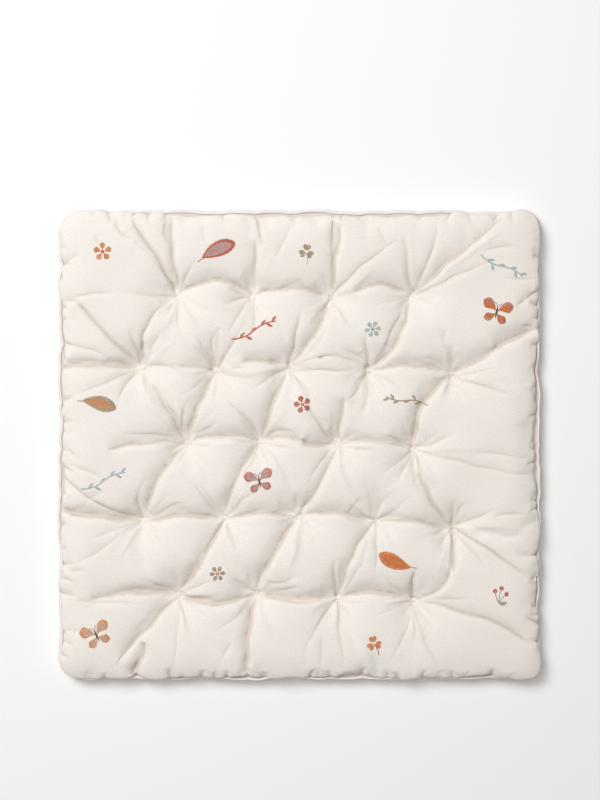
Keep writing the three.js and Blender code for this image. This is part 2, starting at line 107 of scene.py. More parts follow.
# Smaller creases that start at a tie: x and y of the far end, bow, half the width, depth
TIE_CREASES = {
    1: [(-208, 382, 6, 7, 2.2), (-367, 310, 0, 8, 2.2), (-245, 231, -4, 5, 3), (-182, 176, -5, 8, -2.6),
        (-334, 411, -2, 8, -1.8)],
    2: [(-142, 322, -1, 5, 2), (-154, 287, -3, 6, 2), (-102, 217, 6, 5, 3), (-146, 227, -4, 7, 2.2),
        (-24, 277, -7, 5, -1.4)],
    3: [(208, 428, 8, 11, 3.4), (108, 233, 1, 7, 2), (70, 390, -3, 7, -1.8), (30, 330, 4, 6, 1.6)],
    4: [(214, 440, 2, 4, 3), (286, 465, -8, 6, 3), (398, 378, 3, 4, 3), (361, 424, 3, 5, 3),
        (420, 446, 2, 7, -2.4), (204, 262, -5, 6, 1.6)],
    5: [(-250, 306, 28, 7, 4.6), (-348, 236, 2, 5, 3), (-474, 99, 2, 8, 2.4), (-371, 83, -8, 6, 2.8),
        (-282, 72, -11, 7, -2.4), (-247, 157, 3, 5, 2.6), (-447, 170, -5, 5, 2.2)],
    6: [(-170, 238, 9, 5, 3), (-113, 248, 1, 5, 3), (-282, 164, -3, 5, 3), (-77, 140, -9, 6, 2.4),
        (-177, 83, 2, 6, 2), (-216, 208, 3, 5, 2)],
    7: [(1, 281, -4, 5, 4.2), (144, 158, 24, 8, 2.6), (135, 156, -5, 4, 3.2), (-65, 118, 1, 6, 2),
        (-16, 101, 0, 5, 2.2), (18, 62, 5, 7, -2.4), (55, 233, -4, 6, 2)],
    8: [(135, 238, 2, 5, 3), (84, 196, -10, 7, 2.2), (129, 56, 3, 6, 3), (100, 93, 3, 6, 2.2)],
    9: [(404, 163, -5, 5, 2.8), (321, 186, 0, 5, 2.6), (243, 182, -7, 6, 2.2), (445, 101, -4, 4, 2.6),
        (299, 97, 3, 5, 2.8)],
    10: [(-232, 89, 9, 5, 3), (-354, 27, -5, 7, 2.2), (-268, -12, 2, 6, 2), (-251, -48, 2, 5, 2.6),
         (-175, -2, -3, 4, 2.2), (-168, -52, 1, 7, -1.8), (-290, 112, -4, 4, 2.8),
         (-248, 92, 3, 7, -2)],
    11: [(-148, 93, -5, 5, 3), (-20, 31, 5, 6, 2.2), (1, -8, -4, 6, 2), (-123, -76, 3, 5, 3),
         (-142, 14, 3, 4, 2.6), (-30, -62, 3, 7, -1.8)],
    12: [(13, 114, 14, 5, 3), (121, 29, 0, 5, 2), (166, -12, -3, 4, 2.4), (18, -72, -7, 6, 2.2),
         (100, -87, -5, 7, -2.4)],
    13: [(183, 17, 1, 5, 2.8), (321, 23, -2, 5, 2.6), (290, 27, 2, 6, 2), (373, -6, 0, 8, -1.4),
         (487, -64, -5, 4, 2.6), (274, -89, 4, 7, -3), (201, -81, -2, 5, 3), (235, -52, 0, 4, 2.4),
         (236, 46, -2, 5, 2.4)],
    14: [(-319, -68, 11, 6, 2.2), (-485, -64, 14, 5, 3.4), (-247, -114, -3, 6, 2.2),
         (-433, -196, -3, 7, 2.2)],
    15: [(-222, -62, 9, 6, 2.2), (-190, -226, -3, 6, -1.8), (-128, -220, 4, 6, 1.6)],
    16: [(-30, -273, 6, 7, -2.4), (36, -216, 4, 6, 1.6), (-44, -207, -2, 6, 1.8)],
    17: [(218, -147, 3, 5, 2), (156, -269, 2, 4, 2.8), (186, -96, 4, 6, 1.6)],
    18: [(315, -114, 0, 5, 2.8), (338, -114, 2, 6, 2), (404, -128, 0, 6, 2.6), (381, -250, 1, 4, 2.6),
         (456, -169, 0, 9, -1.4), (474, -272, 3, 6, 4)],
    19: [(-429, -310, -11, 6, 3), (-319, -269, 3, 6, 2.2), (-175, -275, 3, 6, 2),
         (-164, -320, -2, 5, 3), (-261, -461, 4, 7, 2)],
    20: [(1, -287, -4, 4, 2.6), (-181, -386, 7, 7, 2.2), (42, -320, -5, 4, 2.6),
         (-60, -392, -4, 7, -1.6)],
    21: [(75, -229, 6, 5, 4), (135, -233, 0, 6, 2.2), (135, -322, -5, 6, 2), (94, -465, -3, 5, 2.2),
         (7, -428, -6, 7, 2.2)],
    22: [(237, -252, 3, 5, 4), (352, -308, -3, 6, 2), (255, -413, 0, 7, -2.4), (187, -434, 7, 7, 2.2),
         (290, -461, -10, 7, 2.2), (235, -424, 0, 5, 1.8), (282, -366, 5, 6, 1.6)],
}

# Smaller creases clear of any tie: both ends, bow, half the width, depth
LOOSE_CREASES = [
    (-381, 473, -338, 417, -9, 8, 2.6), (-280, 479, -272, 419, 0, 6, 2),
    (-478, 298, -447, 293, 2, 5, 2.4), (-491, 300, -372, 312, 2, 8, 2.2),
    (-491, 209, -391, 182, 4, 7, 2.4), (-489, 366, -445, 388, 4, 6, 2.6),
    (-88, 467, -73, 407, -1, 6, 3), (-11, 455, -53, 378, 0, 8, 2.2), (67, 471, 63, 393, 4, 6, 2.8),
    (55, 233, 5, 182, 5, 7, 2.2), (218, 279, 175, 207, -2, 7, 2.2), (301, 238, 294, 207, 0, 7, 1.6),
    (373, 393, 445, 405, 8, 7, 2.4), (418, 341, 489, 339, 0, 7, 2.2), (443, 285, 484, 316, -2, 5, 4),
    (-474, -35, -396, -66, -1, 7, 2.2), (352, -14, 484, -31, 4, 8, 2.2),
    (383, 143, 484, 99, 11, 8, -2.2), (-460, -242, -375, -190, -5, 7, 2.2),
    (-480, -262, -437, -254, 2, 6, 2), (-458, -320, -323, -326, 4, 6, 2.8),
    (-491, -382, -429, -374, 0, 7, 2), (-61, -279, -5, -264, -8, 6, 2),
    (394, -147, 466, -140, 3, 7, 2.4), (-139, -403, -160, -434, 0, 6, 2), (46, -393, 42, -455, 0, 7, 2),
    (476, -225, 440, -216, 2, 6, 1.8), (-420, 430, -398, 404, -3, 7, 1.8),
    (160, 446, 176, 402, 3, 7, 1.8), (-200, 452, -188, 410, -2, 7, 1.8),
    (-440, -120, -400, -92, 3, 7, 1.6), (120, -110, 96, -140, 2, 6, 1.6),
]

# Short puckers that the seam gathers, by side: place along the side, how far they run into the panel,
# how far the inner end leans to the right of the way in, depth
SEAM_PUCKERS = {
    "left": [(407, 14, 3, 2), (370, 20, -4, 3), (285, 16, 3, 2.6), (260, 12, 2, 2), (209, 18, 2, 2.6),
             (176, 12, 0, 2), (160, 26, 1, 3.4), (89, 34, -12, 3), (58, 12, 2, 2), (48, 30, -4, 2.6),
             (31, 12, 3, 2), (-8, 30, 8, 2.8), (-45, 32, 10, 2.8), (-68, 14, 3, 2.2), (-97, 12, 2, 2),
             (-130, 22, 3, 3), (-165, 16, -3, 2.6), (-209, 14, 2, 2.2), (-246, 30, -5, 3),
             (-275, 28, 4, 2.6), (-304, 36, 4, 2.8), (-388, 16, -4, 2.6), (-401, 28, 5, 2.8),
             (-428, 14, 2, 2)],
    "top": [(-392, 24, -5, 3), (-309, 20, 4, 2.6), (-276, 22, -2, 2.6), (-88, 16, 2, 2.4),
            (-24, 14, -2, 2.2), (-9, 18, 3, 2.6), (67, 24, 0, 2.8), (82, 18, -3, 2.4),
            (125, 16, 2, 2.2), (245, 18, -2, 2.4), (305, 22, 5, 2.8), (406, 26, 8, 3.2),
            (435, 18, 4, 2.6), (-340, 12, 2, 2), (-160, 12, -2, 2), (180, 12, 2, 2), (350, 14, 3, 2.2)],
    "right": [(289, 18, 5, 2.8), (262, 14, 2, 2.4), (240, 30, 6, 3.4), (207, 16, -3, 2.4),
              (64, 20, -4, 2.8), (10, 14, 2, 2.2), (-10, 18, 3, 2.6), (-35, 24, -3, 2.8),
              (-114, 16, 3, 2.6), (-130, 14, -2, 2.2), (-223, 44, -2, 3), (-273, 18, -5, 2.8),
              (-285, 16, 2, 2.2), (-331, 14, 3, 2.4), (-345, 20, -4, 2.6), (-366, 30, 16, 3.6),
              (-403, 18, 6, 2.8), (120, 14, 2, 2), (390, 14, -3, 2.2)],
    "bottom": [(-336, 34, 5, 4), (-263, 22, -3, 3), (-199, 16, 2, 2.4), (-173, 14, -2, 2.2),
               (-150, 18, 3, 2.6), (-105, 22, 2, 3), (-67, 14, -2, 2.2), (24, 20, 3, 2.8),
               (63, 16, -2, 2.4), (128, 22, 4, 3), (181, 16, 2, 2.4), (203, 14, -3, 2.2),
               (255, 20, 3, 2.8), (315, 16, -2, 2.4), (394, 22, 5, 3), (-400, 14, 3, 2.2),
               (430, 12, 2, 2)],
}

# Places where a fold runs out into the edge, by side: place along the side, how far it draws the edge
# in, width
EDGE_DRAWS = {
    "left": [(372, 5, 18), (217, 5, 24), (35, 3, 40), (-150, -3, 35), (-230, 5, 26), (-372, 5, 36)],
    "right": [(402, 3, 22), (322, 3, 18), (154, 7, 20), (-160, -2, 28), (-200, 5, 14), (-322, 4, 26),
              (-386, 4, 16)],
    "top": [(-383, 5, 14), (-150, 2.5, 90), (112, 4, 24), (190, 2.5, 60), (365, 7, 30), (418, 3, 16)],
    "bottom": [(-383, 4, 24), (-210, 4, 26), (-105, -2, 30), (-18, 7, 26), (272, 3, 26), (372, 3, 30)],
}

# Places where the welt shows, and isn't hidden under the filled panel, by side: place along the side,
# how much of it shows, width
WELT_SHOWS = {
    "left": [(210, 1, 100), (-60, 1, 130)],
    "right": [(150, 0.9, 60), (40, 1, 90), (-90, 1, 60), (-300, 0.4, 25)],
    "top": [(-240, 0.8, 50), (-80, 1, 120), (150, 1, 150)],
    "bottom": [(-335, 0.5, 15), (-261, 0.6, 25), (-105, 0.8, 35), (100, 0.8, 55), (330, 0.4, 30)],
}
BULGE_REACH = 9
PANEL_OVERHANG = 13
OVERHANG_AT_WELT = 4.5
OVERHANG_UNEVEN = 1.6
EDGE_UNEVEN = 0.7
SEAM_WAVER = 0.8
WAVER_WIDTH = 7

# Small waves of the edge and of the overhang: shares of x and y that they run along, and length
EDGE_WAVES = [(1, 1.7, 14), (1.3, -1, 31)]
OVERHANG_WAVES = [(1, -1.4, 19), (1, 1, 43)]
# Waver of the fold lines in x and in y: quick length, length and strength of its own waver, slow lengths
WAVER_IN_X = (11, 17, 1.3, 29, 41)
WAVER_IN_Y = (13, 19, 1.7, 31, -37)
SLOW_SHARE = 0.6

TOP_CELLS = 132
BACK_CELLS = 66
BACK_STEP = TOP_CELLS // BACK_CELLS
LINE_STEPS = 12
FOLD_FADE = 0.24
FOLD_GROWTH = 3
FOLD_WIDTH_SHARE = 0.75
BROAD_SHARE = 0.46
WAVER = 1.3
LEAN_WAY = np.array([0.55, -0.84])
LEAN = 0.5
TIE_GATHER = 0.34
TIE_GATHER_REACH = 22
TOP_SNAP_REACH = 30
BACK_SNAP_REACH = 40

HALF_WIDTH = MAT_WIDTH / 2
HALF_DEPTH = MAT_DEPTH / 2


def corner_radius(x, y):
    upper = np.where(x < 0, CORNER_RADII["top left"], CORNER_RADII["top right"])
    lower = np.where(x < 0, CORNER_RADII["bottom left"], CORNER_RADII["bottom right"])
    return np.where(y > 0, upper, lower)


def inset_of(x, y):
    """Distance in from the outline, before the folds draw it in."""
    radius = corner_radius(x, y)
    over_x = np.abs(x) - (HALF_WIDTH - radius)
    over_y = np.abs(y) - (HALF_DEPTH - radius)
    beyond = np.hypot(np.maximum(over_x, 0), np.maximum(over_y, 0))
    return radius - beyond - np.minimum(np.maximum(over_x, over_y), 0)


def outline_at(square):
    """Outline points, and the ways out from them, for points on the edge of the plain square."""
    x, y = square.T
    radius = corner_radius(x, y)
    along_x = HALF_WIDTH - np.abs(x)
    along_y = HALF_DEPTH - np.abs(y)
    share = np.minimum(np.maximum(along_x, along_y) / radius, 1)
    turn = math.pi / 4 * (1 + np.where(along_x > along_y, share, -share))
    side = np.sign(square)
    outward = side * np.stack([np.cos(turn), np.sin(turn)], -1)
    centre = side * np.stack([HALF_WIDTH - radius, HALF_DEPTH - radius], -1)
    on_arc = centre + outward * radius[:, None]
    return np.where(share[:, None] < 1, on_arc, square), outward


def along_edge(x, y, table):
    """Sum of a table's humps, on the side of the mat that each point is nearest to."""
    near_side = HALF_WIDTH - np.abs(x) < HALF_DEPTH - np.abs(y)
    along = np.where(near_side, y, x)
    total = np.zeros(len(x))
    for side, on_side in (("left", near_side & (x < 0)), ("right", near_side & (x >= 0)),
                          ("bottom", ~near_side & (y < 0)), ("top", ~near_side & (y >= 0))):
        for at, size, width in table[side]:
            total += on_side * size * np.exp(-((along - at) / width) ** 2)
    return total


WAVERS = {side: [(at, SEAM_WAVER * depth, WAVER_WIDTH) for at, _, _, depth in puckers]
          for side, puckers in SEAM_PUCKERS.items()}


def waves(x, y, table):
    return sum(np.sin((share_x * x + share_y * y) / length) for share_x, share_y, length in table)


def edge_draw(x, y):
    """How far the folds and the puckers draw the edge in, and its small unevenness between them."""
    uneven = EDGE_UNEVEN * waves(x, y, EDGE_WAVES)
    return along_edge(x, y, EDGE_DRAWS) + along_edge(x, y, WAVERS) + uneven


def rim_stops(cells):
    """Points on the edge of the plain square, anticlockwise from its bottom left corner."""
    way = np.linspace(-1, 1, cells + 1)[:-1]
    end = np.ones(cells)
    x = np.concatenate([way, end, -way, -end])
    y = np.concatenate([-end, way, end, -way])
    return np.stack([x * HALF_WIDTH, y * HALF_DEPTH], -1)


def rim_numbers(cells):
    """Where the points of the rim lie in the rows of a net."""
    step = np.arange(cells)
    width = cells + 1
    return np.concatenate([step, step * width + cells, width * width - 1 - step, (cells - step) * width])


def net_inside(rim, cells):
    """Evenly blended net inside a rim of points."""
    bottom = rim[:cells + 1]
    right = rim[cells:2 * cells + 1]
    top = rim[2 * cells:3 * cells + 1][::-1]
    left = np.concatenate([rim[3 * cells:], rim[:1]])[::-1]
    u = np.linspace(0, 1, cells + 1)[None, :, None]
    v = np.linspace(0, 1, cells + 1)[:, None, None]
    net = (1 - v) * bottom[None] + v * top[None] + (1 - u) * left[:, None] + u * right[:, None]
    net -= ((1 - u) * (1 - v) * bottom[0] + u * (1 - v) * bottom[-1]
            + (1 - u) * v * top[0] + u * v * top[-1])
    return net.reshape(-1, 2)


def away_from_ties(flat):
    """Distance of each point from each tie."""
    return np.hypot(flat[:, :1] - TIES[:, 0], flat[:, 1:] - TIES[:, 1])


def snap_to_ties(net, reach):
    """Each tie takes the nearest point of the net, and the points around it follow a little."""
    nearest = [int(np.argmin(np.hypot(*(net - tie).T))) for tie in TIES]
    moved = net.copy()
    for tie, number in zip(TIES, nearest):
        away = np.hypot(*(net - net[number]).T)
        moved += np.exp(-(away / reach) ** 2)[:, None] * (tie - net[number])
    return moved, nearest


def gather_at_ties(net):
    """Draws the net together round each tie, so that its small pleats have points enough."""
    moved = net.copy()
    for tie in TIES:
        offset = net - tie
        away = np.hypot(*offset.T)
        moved -= offset * (TIE_GATHER * np.exp(-(away / TIE_GATHER_REACH) ** 2))[:, None]
    return moved


def bowed_line(x1, y1, x2, y2, bow):
    start = np.array([x1, y1], float)
    end = np.array([x2, y2], float)
    along = (end - start) / np.hypot(*(end - start))
    middle = (start + end) / 2 + 2 * bow * np.array([-along[1], along[0]])
    t = np.linspace(0, 1, LINE_STEPS + 1)[:, None]
    return (1 - t) ** 2 * start + 2 * t * (1 - t) * middle + t ** 2 * end


def near_line(points, line, reach):
    """Points within reach of a line: numbers, offsets from it, and how far along it they lie."""
    inside = (points > line.min(0) - reach) & (points < line.max(0) + reach)
    close = np.flatnonzero(inside.all(1))
    offset = np.full((len(close), 2), np.inf)
    along = np.zeros(len(close))
    for k in range(LINE_STEPS):
        step = line[k + 1] - line[k]
        from_start = points[close] - line[k]
        t = np.clip(from_start @ step / (step @ step), 0, 1)
        gap = from_start - t[:, None] * step
        nearer = np.hypot(*gap.T) < np.hypot(*offset.T)
        offset[nearer] = gap[nearer]
        along[nearer] = ((k + t) / LINE_STEPS)[nearer]
    return close, offset, along


def leaned(offset):
    """Distance from a fold, shortened on its upper side and lengthened on its steeper lower side."""
    away = np.hypot(*offset.T)
    return away * (1 + LEAN * (offset @ LEAN_WAY) / np.maximum(away, 1e-6))


def waver(across, along, quick, own, strength, slow_across, slow_along):
    shift = np.sin(across / quick + strength * np.sin(along / own))
    return shift + SLOW_SHARE * np.sin(across / slow_across + along / slow_along)


def wavy(points):
    """Where the points lie once the folds' smooth lines are made a little wavy."""
    x, y = points.T
    return points + WAVER * np.stack([waver(y, x, *WAVER_IN_X), waver(x, y, *WAVER_IN_Y)], -1)


def fold_drop(points):
    points = wavy(points)
    drop = np.zeros(len(points))
    for x1, y1, x2, y2, bow, width, depth in FOLDS:
        half = FOLD_WIDTH_SHARE * width
        close, offset, along = near_line(points, bowed_line(x1, y1, x2, y2, bow), 4 * half)
        fade = np.sin(np.minimum(1, np.minimum(along, 1 - along) / FOLD_FADE) * math.pi / 2)
        drop[close] += BROAD_SHARE * depth * fade * np.exp(-(leaned(offset) / half) ** 2)
    return drop


def panel_height(points, from_seam):
    """Height of the filled top panel, with its main folds."""
    x, y = points.T
    rise = np.sqrt(1 - (1 - np.minimum(from_seam / EDGE_REACH, 1)) ** 2)
    wave_x = np.sin(2 * math.pi * x / LUMP_SPACING + LUMP_PHASE_X)
    wave_y = np.sin(2 * math.pi * y / LUMP_SPACING + LUMP_PHASE_Y)
    full = SEAM_HEIGHT + (CROWN_HEIGHT - SEAM_HEIGHT + LUMP_HEIGHT * wave_x * wave_y) * rise
    opened = np.prod(1 - np.exp(-away_from_ties(points) / TUFT_REACH), axis=1)
    pillow = TUFT_HEIGHT + (full - TUFT_HEIGHT) * opened
    return pillow - fold_drop(points) * rise * np.minimum(1, opened * FOLD_GROWTH)


stops = rim_stops(TOP_CELLS)
rim_points, rim_ways = outline_at(stops)
rim_draws = edge_draw(*rim_points.T)
rim_index = rim_numbers(TOP_CELLS)
rim_count = len(rim_index)


def rim_places(inset, height, draw_share):
    back = inset + rim_draws * draw_share
    flat = rim_points - rim_ways * back[:, None]
    return np.column_stack([flat, np.full(rim_count, height)])


def top_panel():
    """Points of the top panel, and the distance of each from the seam."""
    net = net_inside(rim_points - rim_ways * SEAM_INSET, TOP_CELLS)
    net, tied = snap_to_ties(gather_at_ties(net), TOP_SNAP_REACH)
    from_seam = np.maximum(inset_of(*net.T) - SEAM_INSET, 0)
    from_seam[rim_index] = 0
    height = panel_height(net, from_seam)
    over = np.maximum(np.abs(net) - [HALF_WIDTH - EDGE_REACH, HALF_DEPTH - EDGE_REACH], 0) * np.sign(net)
    way_out = over / np.maximum(np.hypot(*over.T), 1e-6)[:, None]
    draw = edge_draw(*net.T) * np.exp(-from_seam / EDGE_DRAW_REACH)
    shown = np.minimum(along_edge(*net.T, WELT_SHOWS), 1)
    bulge = PANEL_OVERHANG + (OVERHANG_AT_WELT - PANEL_OVERHANG) * shown
    bulge += OVERHANG_UNEVEN * waves(*net.T, OVERHANG_WAVES)
    draw -= bulge * from_seam / BULGE_REACH * np.exp(1 - from_seam / BULGE_REACH)
    places = np.column_stack([net - way_out * draw[:, None], height])
    places[rim_index] = rim_places(SEAM_INSET, SEAM_HEIGHT, 1)
    return places, from_seam, tied


def back_panel(rim):
    """Points of the back panel inside its rim, with the hollows that the ties pull into it."""
    net, _ = snap_to_ties(net_inside(rim[:, :2], BACK_CELLS), BACK_SNAP_REACH)
    height = np.interp(away_from_ties(net).min(1), HOLLOW_RADII, HOLLOW_HEIGHTS)
    return np.column_stack([net, height])


def net_cells(cells):
    """Corners of each cell of a net, anticlockwise."""
    width = cells + 1
    for j in range(cells):
        for i in range(cells):
            a = j * width + i
            yield [a, a + 1, a + width + 1, a + width]


def side_band(first):
    """Rows of the side band from the seam down, its cells, their flat cloth, and its lowest row."""
    around = np.append(0, np.cumsum(np.hypot(*(np.roll(rim_points, -1, 0) - rim_points).T)))
    rows, faces, flats = [], [], []
    above = rim_index
    down = 0
    last = (SEAM_INSET, SEAM_HEIGHT)
    for inset, height, draw_share in BAND_SECTION:
        rows.append(rim_places(inset, height, draw_share))
        below = first + np.arange(rim_count)
        step = math.hypot(inset - last[0], height - last[1])
        for k in range(rim_count):
            after = (k + 1) % rim_count
            faces.append([above[k], below[k], below[after], above[after]])
            flats.append(np.array([(around[k], -down), (around[k], -down - step),
                                   (around[k + 1], -down - step), (around[k + 1], -down)]))
        above = below
        first += rim_count
        down += step
        last = (inset, height)
    return rows, faces, flats, above


def back_cells(number, edge, lowest):
    """Cells of the back panel, whose edge takes in every point of the side band's lowest row."""
    between = {}
    for k in range(len(edge)):
        after = (k + 1) % len(edge)
        between[int(edge[k]), int(edge[after])] = lowest[k * BACK_STEP + 1:(k + 1) * BACK_STEP]
    faces = []
    for corners in net_cells(BACK_CELLS):
        face = []
        for here, after in zip(corners, corners[1:] + corners[:1]):
            face.append(number[here])
            face.extend(between.get((here, after), []))
        faces.append(face[::-1])
    return faces


def cushion_mesh():
    """The whole cloth as one closed mesh, with UVs that are the flat cloth's own sizes in metres."""
    top, from_seam, tied = top_panel()
    faces = list(net_cells(TOP_CELLS))
    flats = [top[face, :2] for face in faces]
    rows, band_faces, band_flats, lowest = side_band(len(top))
    back = back_panel(rows[-1][::BACK_STEP])
    edge = rim_numbers(BACK_CELLS)
    inner = np.setdiff1d(np.arange(len(back)), edge)
    number = np.empty(len(back), int)
    number[edge] = lowest[::BACK_STEP]
    number[inner] = lowest[-1] + 1 + np.arange(len(inner))
    points = np.concatenate([top, *rows, back[inner]])
    back_faces = back_cells(number, edge, lowest)
    faces += band_faces + back_faces
    flats += band_flats + [points[face, :2] for face in back_faces]
    gaps = np.full(len(points), -1.0)
    gaps[:len(top)] = from_seam
    mesh = bpy.data.meshes.new("mat_cushion")
    mesh.from_pydata(points * MM, [], [[int(v) for v in face] for face in faces])
    layer = mesh.uv_layers.new(name="cloth")
    layer.data.foreach_set("uv", (np.concatenate(flats) * MM).ravel().astype(np.float32))
    gap = mesh.attributes.new("from_seam", "FLOAT", "POINT")
    gap.data.foreach_set("value", gaps.astype(np.float32))
    return mesh, tied


def seam_gaps(mesh):
    """Distance of each point from the seam. It is negative off the top panel."""
    gap = np.empty(len(mesh.vertices), np.float32)
    mesh.attributes["from_seam"].data.foreach_get("value", gap)
    return gap


def points_of(mesh):
    places = np.empty(3 * len(mesh.vertices), np.float32)
    mesh.vertices.foreach_get("co", places)
    return places.reshape(-1, 3).astype(float) / MM


def put_points(mesh, places):
    mesh.vertices.foreach_set("co", (places * MM).astype(np.float32).ravel())
    mesh.update()


def placed(name, data):
    """A new piece, put into the scene."""
    piece = bpy.data.objects.new(name, data)
    bpy.context.scene.collection.objects.link(piece)
    return piece


def applied(piece):
    """Puts what the piece's modifiers make into its own mesh."""
    depsgraph = bpy.context.evaluated_depsgraph_get()
    mesh = bpy.data.meshes.new_from_object(piece.evaluated_get(depsgraph), depsgraph=depsgraph)
    piece.modifiers.clear()
    piece.data = mesh
    return mesh


# The filling swells the cloth, which is held at the ties, the seam, the side band and the base, and a
# little in the folds
PRESSURE = 4
SPARE_CLOTH = 0.02
SWELL_CAP = 6
FRAMES = 20
TIE_HOLD_REACH = 9
FOLD_HOLD = 0.35
FOLD_HELD_FROM = 4
BAND_HOLD = 0.8
ON_THE_BASE = 0.5
CANVAS_CLOTH = {"quality": 5, "mass": 0.25, "tension_stiffness": 20, "compression_stiffness": 12,
                "shear_stiffness": 8, "bending_stiffness": 0.6, "shrink_min": -SPARE_CLOTH,
                "pin_stiffness": 1, "use_pressure": True, "uniform_pressure_force": PRESSURE}


def fill_out(piece, tied):
    mesh = piece.data
    start = points_of(mesh)
    gap = seam_gaps(mesh)
    away = away_from_ties(start[:, :2]).min(1)
    hold = np.where(gap < 0, BAND_HOLD, np.exp(-(away / TIE_HOLD_REACH) ** 2))
    in_fold = FOLD_HOLD * np.minimum(np.abs(fold_drop(start[:, :2])) / FOLD_HELD_FROM, 1)
    hold = np.maximum(hold, np.where(gap > 0, in_fold, 0))
    hold[gap == 0] = 1
    hold[start[:, 2] <= ON_THE_BASE] = 1
    hold[tied] = 1
    group = piece.vertex_groups.new(name="hold")
    for share in np.unique(np.round(hold, 2)):
        group.add(np.flatnonzero(np.round(hold, 2) == share).tolist(), float(share), "REPLACE")
    cloth = piece.modifiers.new("Filling", "CLOTH")
    for key, value in CANVAS_CLOTH.items():
        setattr(cloth.settings, key, value)
    cloth.settings.vertex_group_mass = "hold"
    cloth.settings.effector_weights.gravity = 0
    cloth.collision_settings.use_collision = False
    cloth.point_cache.frame_start = 1
    cloth.point_cache.frame_end = FRAMES
    scene = bpy.context.scene
    for number in range(1, FRAMES + 1):
        scene.frame_set(number)
    mesh = applied(piece)
    scene.frame_set(1)
    moved = points_of(mesh) - start
    length = np.linalg.norm(moved, axis=1)
    limit = SWELL_CAP * np.tanh(length / SWELL_CAP) / np.maximum(length, 1e-6)
    places = start + moved * limit[:, None]
    places[start[:, 2] <= ON_THE_BASE, 2] = 0
    places[:, 2] = np.maximum(places[:, 2], 0)
    put_points(mesh, places)
    return mesh


# Creases of the finer cloth, which are narrow at the bottom, where the cloth is drawn together. The ends
# of each kind of crease are the shares of its length over which it fades in and out. The painted shade
# darkens the colour at the bottom, mostly on a crease's upper side, away from the light, and at the seam.
FINE_WIDTH = 8.5
FINE_SHARE = 1.12
SMALL_SHARE = 1.35
CORE_SHARE = 0.45
CORE_EDGE = 2.2
CORE_ROUND = 1.3
CREASE_LIMIT = 5
RIDGE_WIDTH_SHARE = 1.1
PUCKER_WIDTH = 4.4
PUCKER_SHARE = 1.4
SMALL_PUCKER_WIDTH = 3.4
FOLD_ENDS = (0.14, 0.2)
TIE_CREASE_ENDS = (0.05, 0.55)
LOOSE_ENDS = (0.4, 0.4)
PUCKER_ENDS = (0.02, 0.7)
SMALL_ENDS = (0.15, 0.6)
PINCH = 0.92
PINCH_REACH = 7
PINCH_LIMIT = 2.5
PINCHED_BY_DEPTH = 2.5
PINCHED_FROM_SEAM = 10
CREASED_FROM_SEAM = 9
LEAST_AT_SEAM = 0.25
PLEAT_HEIGHT = 1.1
PLEAT_REACH = 13
PLEAT_COUNTS = (5, 7, 8)
TIE_PIT = 0.5
TIE_PIT_REACH = 7
# Painted shade: darker colour put at the bottom of creases and along the seam, where shade falls
SHADE_PAINT_WIDTH = 2.3
SHADE_PAINT_SHARE = 0.26
SHADE_PAINT_MOST = 0.5
SHADE_PAINT_LEAN = 0.8
SHADE_PAINT_FROM = 1.2
SEAM_PAINTED_SHADE = 0.45
SEAM_PAINTED_SHADE_REACH = 3
SPLIT_FROM = 0.08
SEAM_SINK = 4
SEAM_SINK_REACH = 7
SMALL_PUCKERS = 150
SMALL_TIE_CREASES = 14
PUCKER_START = 3
WAYS_OUT = {"left": (-1, 0), "right": (1, 0), "top": (0, 1), "bottom": (0, -1)}
crease_hand = np.random.default_rng(22)


def crease_rows():
    """Every crease of the top panel: line, half the width, depth, and its ends."""
    rows = [(bowed_line(x1, y1, x2, y2, bow), FINE_WIDTH, FINE_SHARE * depth, FOLD_ENDS)
            for x1, y1, x2, y2, bow, _, depth in FOLDS if depth > 0]
    for number, creases in TIE_CREASES.items():
        tie_x, tie_y = TIES[number - 1]
        for x, y, bow, width, depth in creases:
            line = bowed_line(tie_x, tie_y, x, y, bow)
            rows.append((line, width, SMALL_SHARE * depth, TIE_CREASE_ENDS))
    for x1, y1, x2, y2, bow, width, depth in LOOSE_CREASES:
        rows.append((bowed_line(x1, y1, x2, y2, bow), width, SMALL_SHARE * depth, LOOSE_ENDS))
    for side, puckers in SEAM_PUCKERS.items():
        for at, reach, lean, depth in puckers:
            line = pucker_line(side, at, reach, lean)
            rows.append((line, PUCKER_WIDTH, PUCKER_SHARE * depth, PUCKER_ENDS))
    for tie_x, tie_y in TIES:
        for _ in range(SMALL_TIE_CREASES):
            turn = crease_hand.uniform(0, 2 * math.pi)
            way = np.array([math.cos(turn), math.sin(turn)])
            near = way * crease_hand.uniform(0, 14) + (tie_x, tie_y)
            far = near + way * crease_hand.uniform(28, 95)
            depth = crease_hand.choice((1, -1)) * crease_hand.uniform(1, 2.6)
            line = bowed_line(*near, *far, crease_hand.normal(0, 2.5))
            rows.append((line, crease_hand.uniform(2.6, 4.8), depth, SMALL_ENDS))
    for _ in range(SMALL_PUCKERS):
        side = list(WAYS_OUT)[crease_hand.integers(4)]
        half = HALF_DEPTH if side in ("left", "right") else HALF_WIDTH
        at = crease_hand.uniform(-0.9, 0.9) * half
        line = pucker_line(side, at, crease_hand.uniform(7, 18), crease_hand.normal(0, 2.5))
        rows.append((line, SMALL_PUCKER_WIDTH, crease_hand.uniform(0.5, 1.8), PUCKER_ENDS))
    return rows


def pucker_line(side, at, reach, lean):
    """Line of a pucker, from just outside the seam into the panel."""
    out = np.array(WAYS_OUT[side])
    edge = np.abs(out) @ (HALF_WIDTH, HALF_DEPTH) - SEAM_INSET + PUCKER_START
    inner = edge - reach - PUCKER_START
    along = at * np.abs(out[::-1])
    start = edge * out + along
    end = inner * out + along + lean * np.array([-out[1], out[0]])
    return bowed_line(*start, *end, 1)


